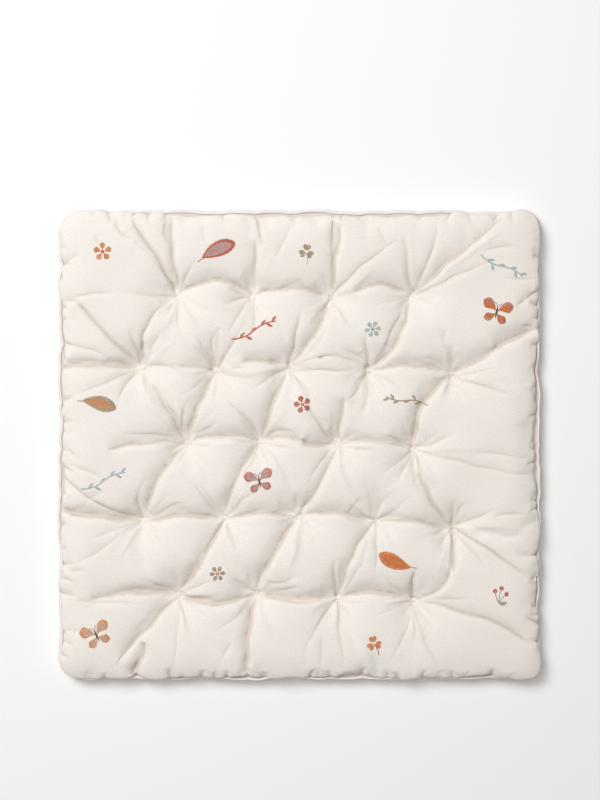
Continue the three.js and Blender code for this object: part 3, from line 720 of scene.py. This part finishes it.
def drawn_together(flat, gap, rows):
    """The net, pinched towards every crease, so that it has points enough at the bottom of each."""
    pull = np.zeros_like(flat)
    pulled = np.zeros(len(flat))
    bent = wavy(flat)
    for line, _, depth, _ in rows:
        close, offset, _ = near_line(bent, line, PINCH_LIMIT * PINCH_REACH)
        share = np.exp(-(np.hypot(*offset.T) / PINCH_REACH) ** 2) * min(1, abs(depth) / PINCHED_BY_DEPTH)
        pull[close] -= offset * share[:, None]
        pulled[close] += share
    return flat + pull * (PINCH / np.maximum(pulled, 1) * np.minimum(gap / PINCHED_FROM_SEAM, 1))[:, None]


def press(flat, rows):
    """How deep the creases press each point in, and its share of the painted crease shade."""
    push = np.zeros(len(flat))
    tone = np.zeros(len(flat))
    bent = wavy(flat)
    for line, width, depth, (fade_in, fade_out) in rows:
        close, offset, along = near_line(bent, line, CREASE_LIMIT * width)
        away = leaned(offset)
        fade = np.minimum(1, np.minimum(along / fade_in, (1 - along) / fade_out))
        fade = np.sin(fade * math.pi / 2)
        if depth > 0:
            rounded = np.hypot(away, CORE_ROUND) - CORE_ROUND
            shape = CORE_SHARE * np.exp(-rounded / CORE_EDGE) + (1 - CORE_SHARE) * np.exp(-rounded / width)
        else:
            shape = np.exp(-(away / width / RIDGE_WIDTH_SHARE) ** 2)
        push[close] += depth * fade * shape
        # Painted shade: darkening at the bottom of a crease, mostly on its upper side, away from the light
        painted_core = SHADE_PAINT_SHARE * max(depth - SHADE_PAINT_FROM, 0) * fade
        painted_core = painted_core / (1 + np.exp(SHADE_PAINT_LEAN * (offset @ LEAN_WAY)))
        painted_core = painted_core * np.exp(-(np.hypot(*offset.T) / SHADE_PAINT_WIDTH) ** 2)
        tone[close] = np.maximum(tone[close], np.minimum(painted_core, SHADE_PAINT_MOST))
    return push, tone


def fan_pleats(flat, push):
    """Adds the small pleats that fan out from each tie, and the pit at the tie itself."""
    for tie in TIES:
        offset = flat - tie
        away = np.hypot(*offset.T)
        turn = np.arctan2(offset[:, 1], offset[:, 0])
        pleats = sum(np.sin(count * turn + crease_hand.uniform(0, 2 * math.pi)) for count in PLEAT_COUNTS)
        pleats = pleats / len(PLEAT_COUNTS)
        push += PLEAT_HEIGHT * 2 * pleats * (away / PLEAT_REACH) * np.exp(1 - away / PLEAT_REACH)
        push += TIE_PIT * np.exp(-(away / TIE_PIT_REACH) ** 2)


def crease(mesh):
    """Presses the creases into the fine cloth of the top panel."""
    gap = seam_gaps(mesh)
    panel = np.flatnonzero(gap >= 0)
    gap = gap[panel]
    places = points_of(mesh)
    rows = crease_rows()
    flat = drawn_together(places[panel, :2], gap, rows)
    push, tone = press(flat, rows)
    fan_pleats(flat, push)
    push *= np.minimum(gap / CREASED_FROM_SEAM + LEAST_AT_SEAM, 1)
    push += SEAM_SINK * np.exp(-(gap / SEAM_SINK_REACH) ** 2)
    normals = np.empty(3 * len(mesh.vertices), np.float32)
    mesh.vertex_normals.foreach_get("vector", normals)
    places[panel, :2] = flat
    places[panel] -= normals.reshape(-1, 3)[panel] * push[:, None]
    put_points(mesh, places)
    # Painted shade at the creases and along the seam, kept on the mesh for the cloth's colour
    painted_shades = np.zeros(len(mesh.vertices), np.float32)
    painted_shades[panel] = np.maximum(tone, SEAM_PAINTED_SHADE * np.exp(-gap / SEAM_PAINTED_SHADE_REACH))
    mesh.attributes.new("painted_shade", "FLOAT", "POINT").data.foreach_set("value", painted_shades)
    pressed_in = np.zeros(len(mesh.vertices))
    pressed_in[panel] = push
    split_along_creases(mesh, pressed_in)


def split_along_creases(mesh, pressed_in):
    """Cuts the cells that a crease crosses from corner to corner, so that its bottom is one clean line."""
    cloth = bmesh.new()
    cloth.from_mesh(mesh)
    for cell in list(cloth.faces):
        if len(cell.verts) == 4:
            a, b, c, d = cell.verts
            deeper = pressed_in[a.index] + pressed_in[c.index] - pressed_in[b.index] - pressed_in[d.index]
            if abs(deeper) > SPLIT_FROM:
                bmesh.utils.face_split(cell, *((a, c) if deeper > 0 else (b, d)))
    cloth.to_mesh(mesh)
    cloth.free()


def srgb(red, green, blue):
    """A colour given by the eye's scale from 0 to 255, as Blender's linear scale."""
    return tuple(((c / 255 + 0.055) / 1.055) ** 2.4 if c > 10 else c / 255 / 12.92
                 for c in (red, green, blue)) + (1,)


class NodeMaker:
    """Makes a node tree, a node at a time."""

    def add(self, kind, inputs=None, **settings):
        node = self.tree.nodes.new(kind)
        for key, value in settings.items():
            setattr(node, key, value)
        self.fill(node.inputs, inputs or {})
        return node

    def fill(self, sockets, inputs):
        for key, value in inputs.items():
            if isinstance(value, bpy.types.NodeSocket):
                self.tree.links.new(value, sockets[key])
            else:
                sockets[key].default_value = value


class Nodes(NodeMaker):
    """A material's node tree."""

    def __init__(self, name):
        self.material = bpy.data.materials.new(name)
        self.material.use_nodes = True
        self.tree = self.material.node_tree
        self.shader = self.tree.nodes["Principled BSDF"]

    def maths(self, kind, first, second):
        node = self.add("ShaderNodeMath", {0: first, 1: second}, operation=kind)
        return node.outputs[0]

    def noise(self, place, scale, detail=2.0):
        node = self.add("ShaderNodeTexNoise", {"Vector": place, "Scale": scale, "Detail": detail})
        return node.outputs[0]

    def mix(self, share, first, second):
        node = self.add("ShaderNodeMix", {"Factor": share}, data_type="RGBA")
        sockets = [socket for socket in node.inputs if socket.type == "RGBA"]
        self.fill(sockets, {0: first, 1: second})
        return [socket for socket in node.outputs if socket.type == "RGBA"][0]


THREAD_PITCH = 0.62
CANVAS_LIGHT = srgb(248, 242, 235)
CANVAS_DEEP = srgb(232, 225, 217)
# Painted shade: the darker colour put into creases and along the seam
PAINTED_SHADE_COLOUR = srgb(184, 167, 151)
CLOUDS = 0.35
SLUBS = 0.2
FLECKS = 1.4
FLECKS_FROM = 0.43


def canvas_material(name, light, deep, by_uv, turn=0.0):
    """Matt plain-woven cotton: over-and-under threads, slubs both ways, faint unevenness of colour, and
    painted shade where the mesh marks creases and the seam.
    """
    nodes = Nodes(name)
    if by_uv:
        source = nodes.add("ShaderNodeUVMap", uv_map="cloth").outputs["UV"]
    else:
        source = nodes.add("ShaderNodeTexCoord").outputs["Object"]
    place = nodes.add("ShaderNodeMapping", {"Vector": source, "Rotation": (0, 0, turn)}).outputs[0]
    axes = nodes.add("ShaderNodeSeparateXYZ", {0: place}).outputs
    pitch = math.pi / (THREAD_PITCH * MM)
    warp, weft = [nodes.maths("SINE", nodes.maths("MULTIPLY", axes[k], pitch), 0.0) for k in (0, 1)]
    weave = nodes.maths("ABSOLUTE", nodes.maths("ADD", warp, weft), 0.0)
    ways = [nodes.add("ShaderNodeMapping", {"Vector": place, "Scale": scale}).outputs[0]
            for scale in ((60, 1500, 60), (1500, 60, 60))]
    slubs = nodes.maths("ADD", *(nodes.noise(way, 1.0) for way in ways))
    clouds = nodes.maths("MULTIPLY", nodes.noise(place, 9.0, 4.0), CLOUDS)
    flecks = nodes.noise(place, 300.0, 3.0)
    tone = nodes.maths("ADD", clouds, nodes.maths("MULTIPLY", slubs, SLUBS))
    flecks = nodes.maths("MULTIPLY", nodes.maths("SUBTRACT", flecks, FLECKS_FROM), FLECKS)
    tone = nodes.maths("ADD", tone, flecks)
    colour = nodes.mix(tone, light, deep)
    # Painted shade of the creases and the seam, mixed into the base colour
    painted_shade = nodes.add("ShaderNodeAttribute", attribute_name="painted_shade").outputs["Fac"]
    height = nodes.maths("ADD", nodes.maths("MULTIPLY", weave, 0.5), slubs)
    bump = nodes.add("ShaderNodeBump", {"Height": height, "Strength": 0.35, "Distance": 0.00025})
    nodes.fill(nodes.shader.inputs, {
        "Base Color": nodes.mix(painted_shade, colour, PAINTED_SHADE_COLOUR), "Normal": bump.outputs[0],
        "Roughness": 0.95, "Specular IOR Level": 0.15, "Sheen Weight": 0.12, "Sheen Roughness": 0.5})
    return nodes.material


cushion_data, tied_points = cushion_mesh()
cushion = placed("mat_cushion", cushion_data)
cushion_data = fill_out(cushion, tied_points)
finer = cushion.modifiers.new("Finer cloth", "SUBSURF")
finer.levels = 1
finer.render_levels = 1
cushion_data = applied(cushion)
crease(cushion_data)
cushion_data.shade_smooth()
cushion_data.materials.append(canvas_material("canvas", CANVAS_LIGHT, CANVAS_DEEP, True))
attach(cushion, "root")
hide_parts("mat_body")

# Welt: a thin filler cord in a bias strip of the same cotton, sewn into the seam between the top panel
# and the side band. It follows the seam all the way round.
WELT_RADIUS = 2.1
WELT_INSET = 6.6
WELT_HEIGHT = 33.2
WELT_SIDES = 10
WELT_LIGHT = srgb(244, 239, 233)
WELT_DEEP = srgb(239, 232, 225)


class Tree(NodeMaker):
    """A Geometry Nodes tree. What its add gives is the new node's outputs."""

    def __init__(self, name, inputs):
        self.tree = bpy.data.node_groups.new(name, "GeometryNodeTree")
        self.tree.interface.new_socket("Geometry", in_out="INPUT", socket_type="NodeSocketGeometry")
        self.tree.interface.new_socket("Geometry", in_out="OUTPUT", socket_type="NodeSocketGeometry")
        for key, kind in inputs.items():
            self.tree.interface.new_socket(key, in_out="INPUT", socket_type=kind)
        self.start = self.tree.nodes.new("NodeGroupInput").outputs
        self.end = self.tree.nodes.new("NodeGroupOutput").inputs

    def add(self, kind, inputs=None, **settings):
        return super().add(kind, inputs, **settings).outputs

    def carried(self, key, kind="FLOAT"):
        return self.add("GeometryNodeInputNamedAttribute", {"Name": key}, data_type=kind)["Attribute"]

    def finish(self, geometry, material):
        real = self.add("GeometryNodeRealizeInstances", {"Geometry": geometry})[0]
        dressed = self.add("GeometryNodeSetMaterial", {"Geometry": real, "Material": material})[0]
        self.tree.links.new(dressed, self.end["Geometry"])
        return self.tree


def made_by_nodes(name, carrier, tree, values):
    """A piece whose mesh a Geometry Nodes tree makes from its carrier mesh."""
    piece = placed(name, carrier)
    modifier = piece.modifiers.new("Maker", "NODES")
    modifier.node_group = tree
    for item in tree.interface.items_tree:
        if item.in_out == "INPUT" and item.name in values:
            modifier[item.identifier] = values[item.name]
    applied(piece)
    return piece


def welt_tree():
    tree = Tree("Welt round the seam", {"Radius": "NodeSocketFloat", "Sides": "NodeSocketInt",
                                        "Cloth": "NodeSocketMaterial"})
    line = tree.add("GeometryNodeMeshToCurve", {"Mesh": tree.start["Geometry"]})[0]
    section = tree.add("GeometryNodeCurvePrimitiveCircle",
                       {"Resolution": tree.start["Sides"], "Radius": tree.start["Radius"]})["Curve"]
    uneven = tree.add("ShaderNodeTexNoise", {"Scale": 90.0, "Detail": 1.0})[0]
    size = tree.add("ShaderNodeMapRange", {"Value": uneven, "To Min": 0.86, "To Max": 1.14})[0]
    line = tree.add("GeometryNodeSetCurveRadius", {"Curve": line, "Radius": size})[0]
    tube = tree.add("GeometryNodeCurveToMesh", {"Curve": line, "Profile Curve": section, "Scale": size})[0]
    smooth = tree.add("GeometryNodeSetShadeSmooth", {"Geometry": tube})[0]
    return tree.finish(smooth, tree.start["Cloth"])


welt_line = bpy.data.meshes.new("top_welt_line")
ring = rim_places(WELT_INSET, WELT_HEIGHT, 1)
welt_line.from_pydata(ring * MM, [(k, (k + 1) % rim_count) for k in range(rim_count)], [])
welt_canvas = canvas_material("welt_canvas", WELT_LIGHT, WELT_DEEP, False, math.pi / 4)
welt = made_by_nodes("seam_welt", welt_line, welt_tree(),
                     {"Radius": WELT_RADIUS * MM, "Sides": WELT_SIDES, "Cloth": welt_canvas})
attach(welt, "root")
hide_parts("top_welt")

# Ties: thick cotton thread goes through the mat from back to top, where a small tack of short stitches
# holds it at the bottom of each tuft.
TACK_STITCHES = 7
TACK_LENGTH = 10.5
TACK_SPREAD = 1.9
TACK_OVERLAP = 0.55
TIE_THREAD = srgb(246, 241, 233)
TIE_THREAD_DEEP = srgb(236, 228, 217)
NEEDLE_SPACE = 0.2


def stitch_tree():
    """Lays a stitch of thread on the cloth from each point of the carrier, the way the needle goes."""
    tree = Tree("Stitches on the cloth", {
        "Cloth": "NodeSocketObject", "Way of the needle": "NodeSocketVector",
        "Thread width": "NodeSocketFloat", "Thread height": "NodeSocketFloat",
        "Lift": "NodeSocketFloat", "Thread": "NodeSocketMaterial"})
    cloth = tree.add("GeometryNodeObjectInfo", {"Object": tree.start["Cloth"]})["Geometry"]
    ray = tree.add("GeometryNodeRaycast", {"Target Geometry": cloth, "Ray Length": 1.0,
                                           "Ray Direction": tree.start["Way of the needle"]})
    kept = tree.add("GeometryNodeStoreNamedAttribute",
                    {"Geometry": tree.start["Geometry"], "Name": "facing", "Value": ray["Hit Normal"]},
                    data_type="FLOAT_VECTOR", domain="POINT")[0]
    lift = tree.add("ShaderNodeVectorMath", {0: ray["Hit Normal"], "Scale": tree.start["Lift"]},
                    operation="SCALE")[0]
    place = tree.add("ShaderNodeVectorMath", {0: ray["Hit Position"], 1: lift}, operation="ADD")[0]
    laid = tree.add("GeometryNodeSetPosition", {"Geometry": kept, "Position": place})[0]
    points = tree.add("GeometryNodeMeshToPoints", {"Mesh": laid})[0]
    turned = tree.add("FunctionNodeAxisAngleToRotation",
                      {"Axis": (0, 0, 1), "Angle": tree.carried("turn")})[0]
    flat = tree.add("FunctionNodeAlignRotationToVector",
                    {"Rotation": turned, "Vector": tree.carried("facing", "FLOAT_VECTOR")}, axis="Z")[0]
    size = tree.add("ShaderNodeCombineXYZ", {"X": tree.carried("reach"), "Y": tree.start["Thread width"],
                                             "Z": tree.start["Thread height"]})[0]
    ball = tree.add("GeometryNodeMeshUVSphere", {"Segments": 6, "Rings": 4, "Radius": 0.5})["Mesh"]
    lying = tree.add("GeometryNodeTransform", {"Geometry": ball, "Rotation": (0, math.pi / 2, 0)})[0]
    stitches = tree.add("GeometryNodeInstanceOnPoints",
                        {"Points": points, "Instance": lying, "Rotation": flat, "Scale": size})[0]
    smooth = tree.add("GeometryNodeSetShadeSmooth", {"Geometry": stitches})[0]
    return tree.finish(smooth, tree.start["Thread"])


def thread_material(name, light, deep):
    """Embroidery thread: each stitch has its own shade, and a soft shine."""
    nodes = Nodes(name)
    shade = nodes.add("ShaderNodeAttribute", attribute_name="shade").outputs["Fac"]
    place = nodes.add("ShaderNodeTexCoord").outputs["Object"]
    uneven = nodes.noise(place, 900.0)
    tone = nodes.maths("ADD", nodes.maths("MULTIPLY", shade, 0.75), nodes.maths("MULTIPLY", uneven, 0.25))
    nodes.fill(nodes.shader.inputs, {"Base Color": nodes.mix(tone, light, deep), "Roughness": 0.6,
                                     "Specular IOR Level": 0.3, "Sheen Weight": 0.2})
    return nodes.material


STITCHES = stitch_tree()


def sewn(name, stitches, material, width, height, from_above=True):
    """A piece of stitches, given as rows of x, y, turn, length and shade."""
    rows = np.array(stitches, float)
    side = 1 if from_above else -1
    carrier = bpy.data.meshes.new(name)
    places = np.column_stack([rows[:, :2] * MM, np.full(len(rows), side * NEEDLE_SPACE)])
    carrier.from_pydata(places, [], [])
    for key, values in (("turn", rows[:, 2]), ("reach", rows[:, 3] * MM), ("shade", rows[:, 4])):
        carrier.attributes.new(key, "FLOAT", "POINT").data.foreach_set("value", values.astype(np.float32))
    return made_by_nodes(name, carrier, STITCHES, {
        "Cloth": cushion, "Way of the needle": (0, 0, -side), "Thread width": width * MM,
        "Thread height": height * MM, "Lift": 0.25 * height * MM, "Thread": material})


def tack(x, y, hand):
    """Short stitches side by side, a little fanned."""
    turn = hand.uniform(0, math.pi)
    rows = []
    for k in range(TACK_STITCHES):
        offset = (k - (TACK_STITCHES - 1) / 2) * TACK_SPREAD * TACK_OVERLAP
        rows.append((x - offset * math.sin(turn), y + offset * math.cos(turn), turn + hand.normal(0, 0.16),
                     TACK_LENGTH * hand.uniform(0.8, 1.1), hand.uniform(0, 1)))
    return rows


tie_hand = np.random.default_rng(5)
tack_rows = [row for x, y in TIES for row in tack(x, y, tie_hand)]
tie_thread = thread_material("tie_thread", TIE_THREAD, TIE_THREAD_DEEP)
ties = sewn("tuft_ties", tack_rows, tie_thread, TACK_SPREAD, 2.2)
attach(ties, "root")
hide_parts(*TIE_NODES)

# Back ends of the ties: the same thread is fastened off on the back panel with the same small tack, at
# the bottom of each hollow. The back doesn't show in the photo, so these are a plain guess.
back_ends = sewn("back_tacks", tack_rows, tie_thread, TACK_SPREAD, 1.3, from_above=False)
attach(back_ends, "root")

# Embroidery: a few small garden motifs, satin-stitched through the top panel in five colours of thread,
# with leaves, flowers, sprigs, berries and butterflies far apart. A thread a little under 1 mm wide covers
# each shape in rows of short stitches.
ROW_PITCH = 0.85
SHORTEST_STITCH = 0.7
LONGEST_STITCH = 4.6
STITCH_OVERLAP = 0.6
STITCH_WIDTH = 0.95
STITCH_HEIGHT = 0.7
THREADS = {
    "terracotta": (srgb(214, 118, 88), srgb(178, 74, 48)),
    "ochre": (srgb(232, 158, 82), srgb(200, 112, 44)),
    "grey": (srgb(208, 214, 214), srgb(160, 172, 178)),
    "beige": (srgb(196, 178, 154), srgb(150, 130, 106)),
    "dark": (srgb(78, 56, 58), srgb(44, 28, 34)),
}
needle_hand = np.random.default_rng(31)
embroidery = {thread: [] for thread in THREADS}


def lay(thread, start, end):
    """One row of satin, split into stitches that aren't too long."""
    start = np.array(start)
    step = np.array(end) - start
    length = float(np.hypot(*step))
    if length < SHORTEST_STITCH:
        return
    count = math.ceil(length / LONGEST_STITCH)
    turn = math.atan2(step[1], step[0])
    cuts = (np.arange(1, count) + needle_hand.uniform(-0.3, 0.3, count - 1)) / count
    cuts = np.concatenate([[0], cuts, [1]])
    for low, high in zip(cuts[:-1], cuts[1:]):
        middle = start + step * (low + high) / 2
        reach = (high - low) * length + STITCH_OVERLAP
        embroidery[thread].append((*middle, turn, reach, needle_hand.uniform(0, 1)))


class Motif:
    """A motif's own place, turn and size on the panel. Its shapes are sewn in its own mm."""

    def __init__(self, x, y, turn, size=1.0):
        angle = math.radians(turn)
        self.size = size
        self.centre = np.array([x, y])
        cos, sin = math.cos(angle), math.sin(angle)
        self.turn = size * np.array([[cos, sin], [-sin, cos]])

    def at(self, place):
        return self.centre + np.asarray(place) @ self.turn

    def satin(self, thread, start, end, width, bow=0.0, fullest=0.5, slant=0.0):
        """A pointed shape along a bowed line: how wide, where it is fullest, how far its rows slant."""
        line = bowed_line(*self.at(start), *self.at(end), bow * self.size)
        steps = np.diff(line, axis=0)
        lengths = np.hypot(*steps.T)
        total = lengths.sum()
        power = math.log(0.5) / math.log(fullest)
        place_at = np.append(0, np.cumsum(lengths)) / total
        for t in np.arange(0.5 * ROW_PITCH / total, 1, ROW_PITCH / total):
            k = min(int(np.searchsorted(place_at, t, "right")) - 1, len(steps) - 1)
            place = line[k] + steps[k] * (t - place_at[k]) * total / lengths[k]
            way = steps[k] / lengths[k]
            across = np.array([-way[1], way[0]])
            half = width * self.size / 2 * math.sin(math.pi * t ** power) ** 0.75
            half *= needle_hand.uniform(0.94, 1.06)
            if slant:
                lay(thread, place, place + half * (slant * way + across))
                lay(thread, place, place + half * (slant * way - across))
            else:
                lay(thread, place - half * across, place + half * across)

    def stem(self, thread, start, end, width, bow=0.0):
        """Slanted rows of one width, along a bowed line."""
        line = bowed_line(*self.at(start), *self.at(end), bow * self.size)
        half = width * self.size / 2
        for low, high in zip(line[:-1], line[1:]):
            length = float(np.hypot(*(high - low)))
            way = (high - low) / length
            slanted = half * np.array([-way[1], way[0]]) + 0.7 * half * way
            count = max(1, round(length / ROW_PITCH))
            for t in (np.arange(count) + 0.5) / count:
                place = low + t * (high - low)
                lay(thread, place - slanted, place + slanted)

    def disc(self, thread, place, width):
        """Straight rows that fill a circle."""
        across = width * self.size
        for offset in np.arange((ROW_PITCH - across) / 2, across / 2, ROW_PITCH):
            half = math.sqrt(max(across * across / 4 - offset * offset, 0))
            lay(thread, self.at(place) + (-half, offset), self.at(place) + (half, offset))


def flower(x, y, turn, petal, heart, petals=5, size=1.0):
    motif = Motif(x, y, turn, size)
    for k in range(petals):
        angle = 2 * math.pi * k / petals
        way = np.array([math.cos(angle), math.sin(angle)])
        motif.satin(petal, 3.5 * way, 19 * way, 60 / petals, fullest=0.64)
    motif.disc(heart, (0, 0), 7.5)


def big_leaf(x, y, turn, blade, edge, size=1.0):
    motif = Motif(x, y, turn, size)
    motif.satin(edge, (-36, 0), (38, 0), 32, bow=3, fullest=0.45, slant=0.7)
    motif.satin(blade, (-30, 0.5), (30, 0.5), 21, bow=2.5, fullest=0.45, slant=0.7)
    motif.stem(edge, (-48, -4), (26, 1), 1.6, bow=3)


def sprig(x, y, turn, stem, leaves, size=1.0):
    motif = Motif(x, y, turn, size)
    halves = ((-50, -8, 0, 0, -5), (0, 0, 46, 9, 4))
    for x1, y1, x2, y2, bow in halves:
        motif.stem(stem, (x1, y1), (x2, y2), 2.6, bow=bow)
        line = bowed_line(x1, y1, x2, y2, bow)
        for place, way in ((4, 1), (7, -1), (10, 1)):
            motif.satin(leaves, line[place], line[place] + (12, way * 9), 5.5, bow=way, fullest=0.55)


def clover(x, y, turn, leaf, stem, size=1.0):
    motif = Motif(x, y, turn, size)
    motif.stem(stem, (0, -2), (4, -26), 1.8, bow=2)
    for angle in (math.pi / 2, math.pi * 7 / 6, -math.pi / 6):
        for spread in (-0.34, 0.34):
            way = np.array([math.cos(angle + spread), math.sin(angle + spread)])
            motif.satin(leaf, 2 * way, 16 * way, 9, fullest=0.6)


def berries(x, y, turn, fruit, stem, size=1.0):
    motif = Motif(x, y, turn, size)
    for place in ((-12, 5), (0, 13), (12, 3)):
        motif.stem(stem, (0, -18), place, 1.5, bow=1.5)
        motif.disc(fruit, place, 9)
    motif.satin(stem, (0, -18), (16, -13), 8, bow=-2)


def butterfly(x, y, turn, wing, edge, size=1.0):
    motif = Motif(x, y, turn, size)
    for side in (-1, 1):
        motif.satin(edge, (side * 1, 2), (side * 33, 19), 24, bow=side * 3, fullest=0.68)
        motif.satin(wing, (side * 3, 3), (side * 27, 16), 15, bow=side * 2, fullest=0.68)
        motif.satin(edge, (side * 1, -2), (side * 24, -17), 18, bow=-side * 2, fullest=0.66)
        motif.satin(wing, (side * 3, -3), (side * 19, -14), 10, bow=-side * 2, fullest=0.66)
        motif.stem("dark", (0, 10), (side * 8, 21), 1.0, bow=side)
    motif.satin("dark", (0, -15), (0, 12), 4.6, fullest=0.6)


flower(-402, 396, 20, "ochre", "terracotta")
big_leaf(-166, 398, 24, "grey", "terracotta")
clover(14, 396, -8, "beige", "grey")
sprig(414, 366, -38, "grey", "grey")
sprig(-92, 236, 12, "terracotta", "terracotta")
flower(150, 238, 8, "grey", "beige", petals=6, size=0.9)
butterfly(402, 272, -14, "ochre", "terracotta", size=0.95)
big_leaf(-410, 84, -14, "ochre", "beige", size=0.95)
flower(6, 84, 34, "terracotta", "ochre", size=0.95)
sprig(218, 92, 158, "beige", "beige", size=0.9)
sprig(-400, -72, 10, "grey", "grey")
butterfly(-82, -74, 12, "grey", "terracotta", size=0.9)
flower(-168, -262, 5, "beige", "ochre", petals=6, size=0.85)
big_leaf(196, -236, 156, "terracotta", "ochre", size=0.95)
berries(410, -304, -10, "terracotta", "beige")
butterfly(-414, -388, 24, "grey", "ochre", size=0.95)
clover(152, -404, 14, "ochre", "terracotta")

for thread, (light, deep) in THREADS.items():
    motif_thread = thread_material(f"{thread}_thread", light, deep)
    motifs = sewn(f"embroidery_{thread}", embroidery[thread], motif_thread, STITCH_WIDTH, STITCH_HEIGHT)
    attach(motifs, "root")

# Studio: a nearly white floor, one broad soft light from the mat's top left, a weaker one overhead, and a
# faint warm light all round. The camera looks straight down from 3 m, with the middle of the mat a little
# below the picture's middle. Places are in metres.
CAMERA_HEIGHT = 3.0
CAMERA_X = 0.001
CAMERA_Y = 0.093
PICTURE_HEIGHT = 1.653
PICTURE_PLANE = 0.022
SENSOR = 36.0
FLOOR_REACH = 6


def lamp(name, place, size, energy, aim=(0, 0, 0.03), colour=(1, 1, 1)):
    data = bpy.data.lights.new(name, "AREA")
    data.shape = "DISK"
    data.size = size
    data.energy = energy
    data.color = colour
    light = placed(name, data)
    light.location = place
    way = light.location - type(light.location)(aim)
    light.rotation_euler = way.to_track_quat("Z", "Y").to_euler()


lamp("window", (-3.0, 3.3, 6.0), 3.2, 310, colour=(0.985, 1, 1.02))
lamp("overhead", (-0.6, 0.6, 4.2), 3.0, 62)

floor_data = bpy.data.meshes.new("floor")
corners = [(FLOOR_REACH * x, FLOOR_REACH * y, 0) for x, y in ((-1, -1), (1, -1), (1, 1), (-1, 1))]
floor_data.from_pydata(corners, [], [(0, 1, 2, 3)])
floor = placed("floor", floor_data)
floor_nodes = Nodes("floor_paint")
floor_nodes.fill(floor_nodes.shader.inputs, {"Base Color": (0.95, 0.95, 0.95, 1), "Roughness": 0.9})
floor_data.materials.append(floor_nodes.material)

world = bpy.data.worlds.new("studio")
world.use_nodes = True
sky = world.node_tree.nodes["Background"].inputs
sky["Color"].default_value = (1, 0.965, 0.925, 1)
sky["Strength"].default_value = 0.245
bpy.context.scene.world = world
bpy.context.scene.view_settings.view_transform = "Standard"

camera_data = bpy.data.cameras.new("camera")
camera_data.sensor_width = SENSOR
camera_data.lens = SENSOR * (CAMERA_HEIGHT - PICTURE_PLANE) / PICTURE_HEIGHT
camera = placed("camera", camera_data)
camera.location = (CAMERA_X, CAMERA_Y, CAMERA_HEIGHT)
bpy.context.scene.camera = camera
